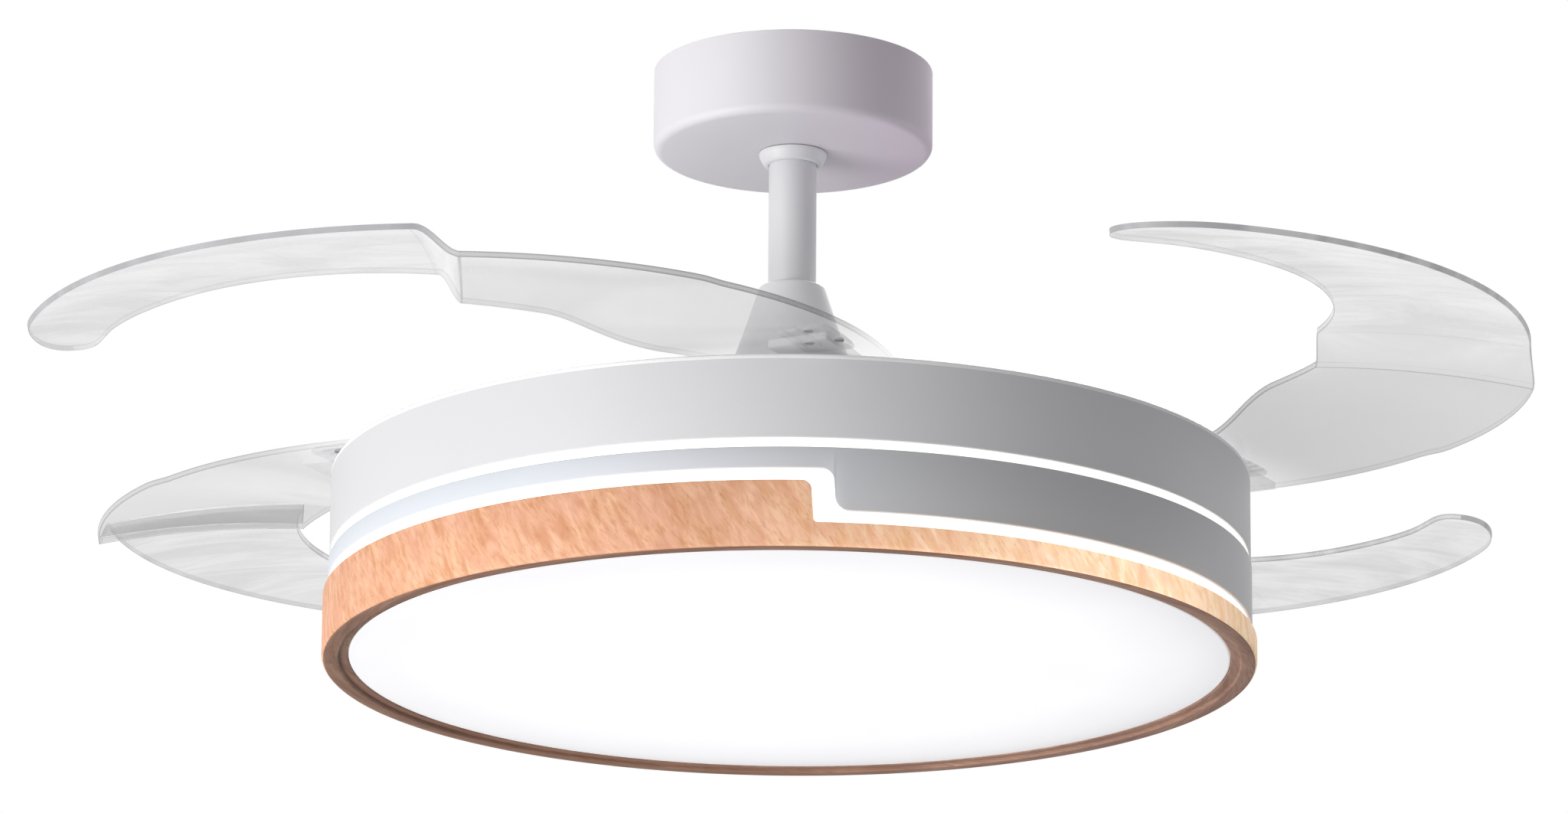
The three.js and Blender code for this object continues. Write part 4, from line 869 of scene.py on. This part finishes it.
def makeBladeSolid(b):
    bm = bladeMesh(b)
    bmesh.ops.recalc_face_normals(bm, faces=bm.faces)
    mesh = bpy.data.meshes.new("bladeBlank")
    bm.to_mesh(mesh)
    bm.free()
    blank = bpy.data.objects.new("bladeBlank", mesh)
    bpy.context.scene.collection.objects.link(blank)
    result = cutHole(blank, b)
    bpy.data.objects.remove(blank)
    return result


# screws: (degrees round the fan's axis, millimetres outwards from the pivot's circle)
pad = {"from": -4.8, "to": -16.5, "half": 14, "base": -221.7, "height": 2.2, "corner": 4, "edge": 0.6,
       "screws": [(-7.5, 8), (-7.5, -8), (-13.5, 0)],
       "screwRadius": 2.6, "screwHeight": 1.7, "screwSink": 0.05,
       "ribs": [-12, -4, 4, 12], "ribHalf": 0.6, "ribHeight": 1.2, "ribFrom": -5.4, "ribTo": -15.8}


# a grid bent round the fan's axis, seen from the blade's pivot
def bentGrid(b, steps, rows, turns, middle, half, height):
    bm = bmesh.new()
    bmesh.ops.create_grid(bm, x_segments=steps, y_segments=rows, size=1)
    first, last = turns
    for v in bm.verts:
        turn = math.radians(first + (last - first) * (v.co.x + 1) / 2)
        v.co = fromPivot(b["pivot"] + middle + half * v.co.y, turn, height, b)
    return bm


def padMesh(p, b):
    bm = bentGrid(b, 12, 4, (p["from"], p["to"]), 0, p["half"], p["base"])
    corners = [v for v in bm.verts if len(v.link_faces) == 1]
    bmesh.ops.bevel(bm, geom=corners, offset=p["corner"] * mm, offset_type="OFFSET", segments=4, profile=0.5,
                    affect="VERTICES", material=-1)
    raisePlate(bm, p["height"])
    bmesh.ops.recalc_face_normals(bm, faces=bm.faces)
    rimEdges = [e for e in bm.edges if e.is_manifold and e.calc_face_angle(0) > 1]
    bmesh.ops.bevel(bm, geom=rimEdges, offset=p["edge"] * mm, offset_type="OFFSET", segments=2, profile=0.5,
                    affect="EDGES", material=-1)
    for across in p["ribs"]:
        rib = bentGrid(b, 16, 1, (p["ribFrom"], p["ribTo"]), across, p["ribHalf"], p["base"] + p["height"])
        raisePlate(rib, p["ribHeight"])
        mergeInto(bm, rib)
    return bm


bladeBlank = makeBladeSolid(blade)
print("blade shaped:", len(bladeBlank.polygons), "faces")
for k in range(blade["count"]):
    number = k + 1
    place = openPlace(k, blade)
    bm = bmesh.new()
    bm.from_mesh(bladeBlank)
    bmesh.ops.transform(bm, matrix=place, verts=bm.verts)
    finishPiece(f"clearBlade{number}", bm, f"folding_blade_{number}", ["clearBlade"],
                [f"blade_{number}"], 40)
    bm = padMesh(pad, blade)
    bmesh.ops.transform(bm, matrix=place, verts=bm.verts)
    finishPiece(f"rootPad{number}", bm, f"folding_blade_{number}", ["rootPlastic"],
                [f"blade_clamp_{number}"], 40)
    screws = bmesh.new()
    for turn, across in pad["screws"]:
        foot = pad["base"] + pad["height"] - pad["screwSink"]
        spot = fromPivot(blade["pivot"] + across, math.radians(turn), foot, blade)
        addTurned(screws, screwHead(pad["screwRadius"], pad["screwHeight"]), place @ Matrix.Translation(spot))
    finishPiece(f"padScrews{number}", screws, f"folding_blade_{number}", ["zinc"])
print("blades made")


# materials of the solids that stay
nodeFinish = {f"blade_hub_{k + 1}": "rootPlastic" for k in range(blade["count"])}
slotFinish = {
    "white_paint": "whitePaint", "grey_paint": "bandPaint", "steel": "zinc", "aluminium": "castAluminium",
    "dark_iron": "darkIron", "clear_plastic": "clearBlade", "grey_plastic": "greyPlastic",
    "opal_plastic": "opal", "wood_finish": "wood", "white_board": "whiteBoard",
}
for part in frame["record"]["subparts"]:
    solid = frame["nodes"][part["node"]]
    if not solid.hide_render:
        solid.data.materials.clear()
        chosen = nodeFinish.get(part["node"], slotFinish[part["material_slot"]])
        solid.data.materials.append(finishes[chosen])
print("solids finished")


# room: floor, light and background
room = {"floorHeight": -14, "floorSize": 60, "floorColour": (0.93, 0.93, 0.94), "floorGlow": 0.62}
backdrop = {"white": 1.0, "ambientColour": (0.985, 0.985, 1.0), "ambient": 0.265}
lampTarget = (0, 0, -0.25)
# strength is the brightness that the lamp alone would give a white face turned to it
lamps = [
    {"name": "leftWindow", "from": (-0.71, -0.48, -0.52), "away": 4.6, "size": 3.8, "strength": 1.07,
     "colour": (1.0, 0.995, 0.985)},
    {"name": "frontFill", "from": (-0.72, -0.58, 0.38), "away": 4.6, "size": 2.6, "strength": 0.2,
     "colour": (1.0, 1.0, 1.0)},
    {"name": "rightRim", "from": (0.94, 0.34, -0.05), "away": 4.0, "size": 1.6, "strength": 0.12,
     "colour": (1.0, 0.98, 0.99)},
    {"name": "backFill", "from": (0.10, 0.70, 0.70), "away": 4.6, "size": 3.4, "strength": 0.85,
     "colour": (1.0, 1.0, 1.0)},
]


def makeRoom():
    floorMesh = bmesh.new()
    bmesh.ops.create_grid(floorMesh, x_segments=1, y_segments=1, size=room["floorSize"])
    bmesh.ops.translate(floorMesh, verts=floorMesh.verts, vec=(0, 0, room["floorHeight"]))
    mesh = bpy.data.meshes.new("paleFloor")
    floorMesh.to_mesh(mesh)
    floorMesh.free()
    floor = bpy.data.objects.new("paleFloor", mesh)
    bpy.context.scene.collection.objects.link(floor)
    material, tree, shader = newMaterial("paleFloorPaint")
    shader.inputs["Base Color"].default_value = (*room["floorColour"], 1)
    shader.inputs["Roughness"].default_value = 0.8
    rays = addNode(tree, "ShaderNodeLightPath")
    glow = addNode(tree, "ShaderNodeMath", operation="MULTIPLY")
    glow.inputs[1].default_value = room["floorGlow"]
    tree.links.new(rays.outputs["Is Camera Ray"], glow.inputs[0])
    tree.links.new(glow.outputs["Value"], shader.inputs["Emission Strength"])
    shader.inputs["Emission Color"].default_value = (1, 1, 1, 1)
    mesh.materials.append(material)


def makeBackground():
    world = bpy.data.worlds.new("paleRoom")
    bpy.context.scene.world = world
    world.use_nodes = True
    tree = world.node_tree
    tree.nodes.clear()
    rays = addNode(tree, "ShaderNodeLightPath")
    seen = addNode(tree, "ShaderNodeMath", operation="MAXIMUM")
    seenAll = addNode(tree, "ShaderNodeMath", operation="MAXIMUM")
    tree.links.new(rays.outputs["Is Camera Ray"], seen.inputs[0])
    tree.links.new(rays.outputs["Is Transmission Ray"], seen.inputs[1])
    tree.links.new(seen.outputs["Value"], seenAll.inputs[0])
    tree.links.new(rays.outputs["Is Glossy Ray"], seenAll.inputs[1])
    ambient = addNode(tree, "ShaderNodeBackground")
    ambient.inputs["Color"].default_value = (*backdrop["ambientColour"], 1)
    ambient.inputs["Strength"].default_value = backdrop["ambient"]
    white = addNode(tree, "ShaderNodeBackground")
    white.inputs["Color"].default_value = (1, 1, 1, 1)
    white.inputs["Strength"].default_value = backdrop["white"]
    mixed = addNode(tree, "ShaderNodeMixShader")
    out = addNode(tree, "ShaderNodeOutputWorld")
    tree.links.new(seenAll.outputs["Value"], mixed.inputs[0])
    tree.links.new(ambient.outputs["Background"], mixed.inputs[1])
    tree.links.new(white.outputs["Background"], mixed.inputs[2])
    tree.links.new(mixed.outputs["Shader"], out.inputs["Surface"])


def makeLamp(lamp):
    data = bpy.data.lights.new(lamp["name"], "AREA")
    data.shape = "DISK"
    data.size = lamp["size"]
    data.energy = lamp["strength"] * (math.pi * lamp["away"]) ** 2
    data.color = lamp["colour"]
    light = bpy.data.objects.new(lamp["name"], data)
    bpy.context.scene.collection.objects.link(light)
    aim = -Vector(lamp["from"]).normalized()
    place = Vector(lampTarget) - aim * lamp["away"]
    light.matrix_world = Matrix.Translation(place) @ aim.to_track_quat("-Z", "Y").to_matrix().to_4x4()


makeRoom()
makeBackground()
for lamp in lamps:
    makeLamp(lamp)
bpy.context.scene.view_settings.view_transform = "Standard"
print("room and lamps made")
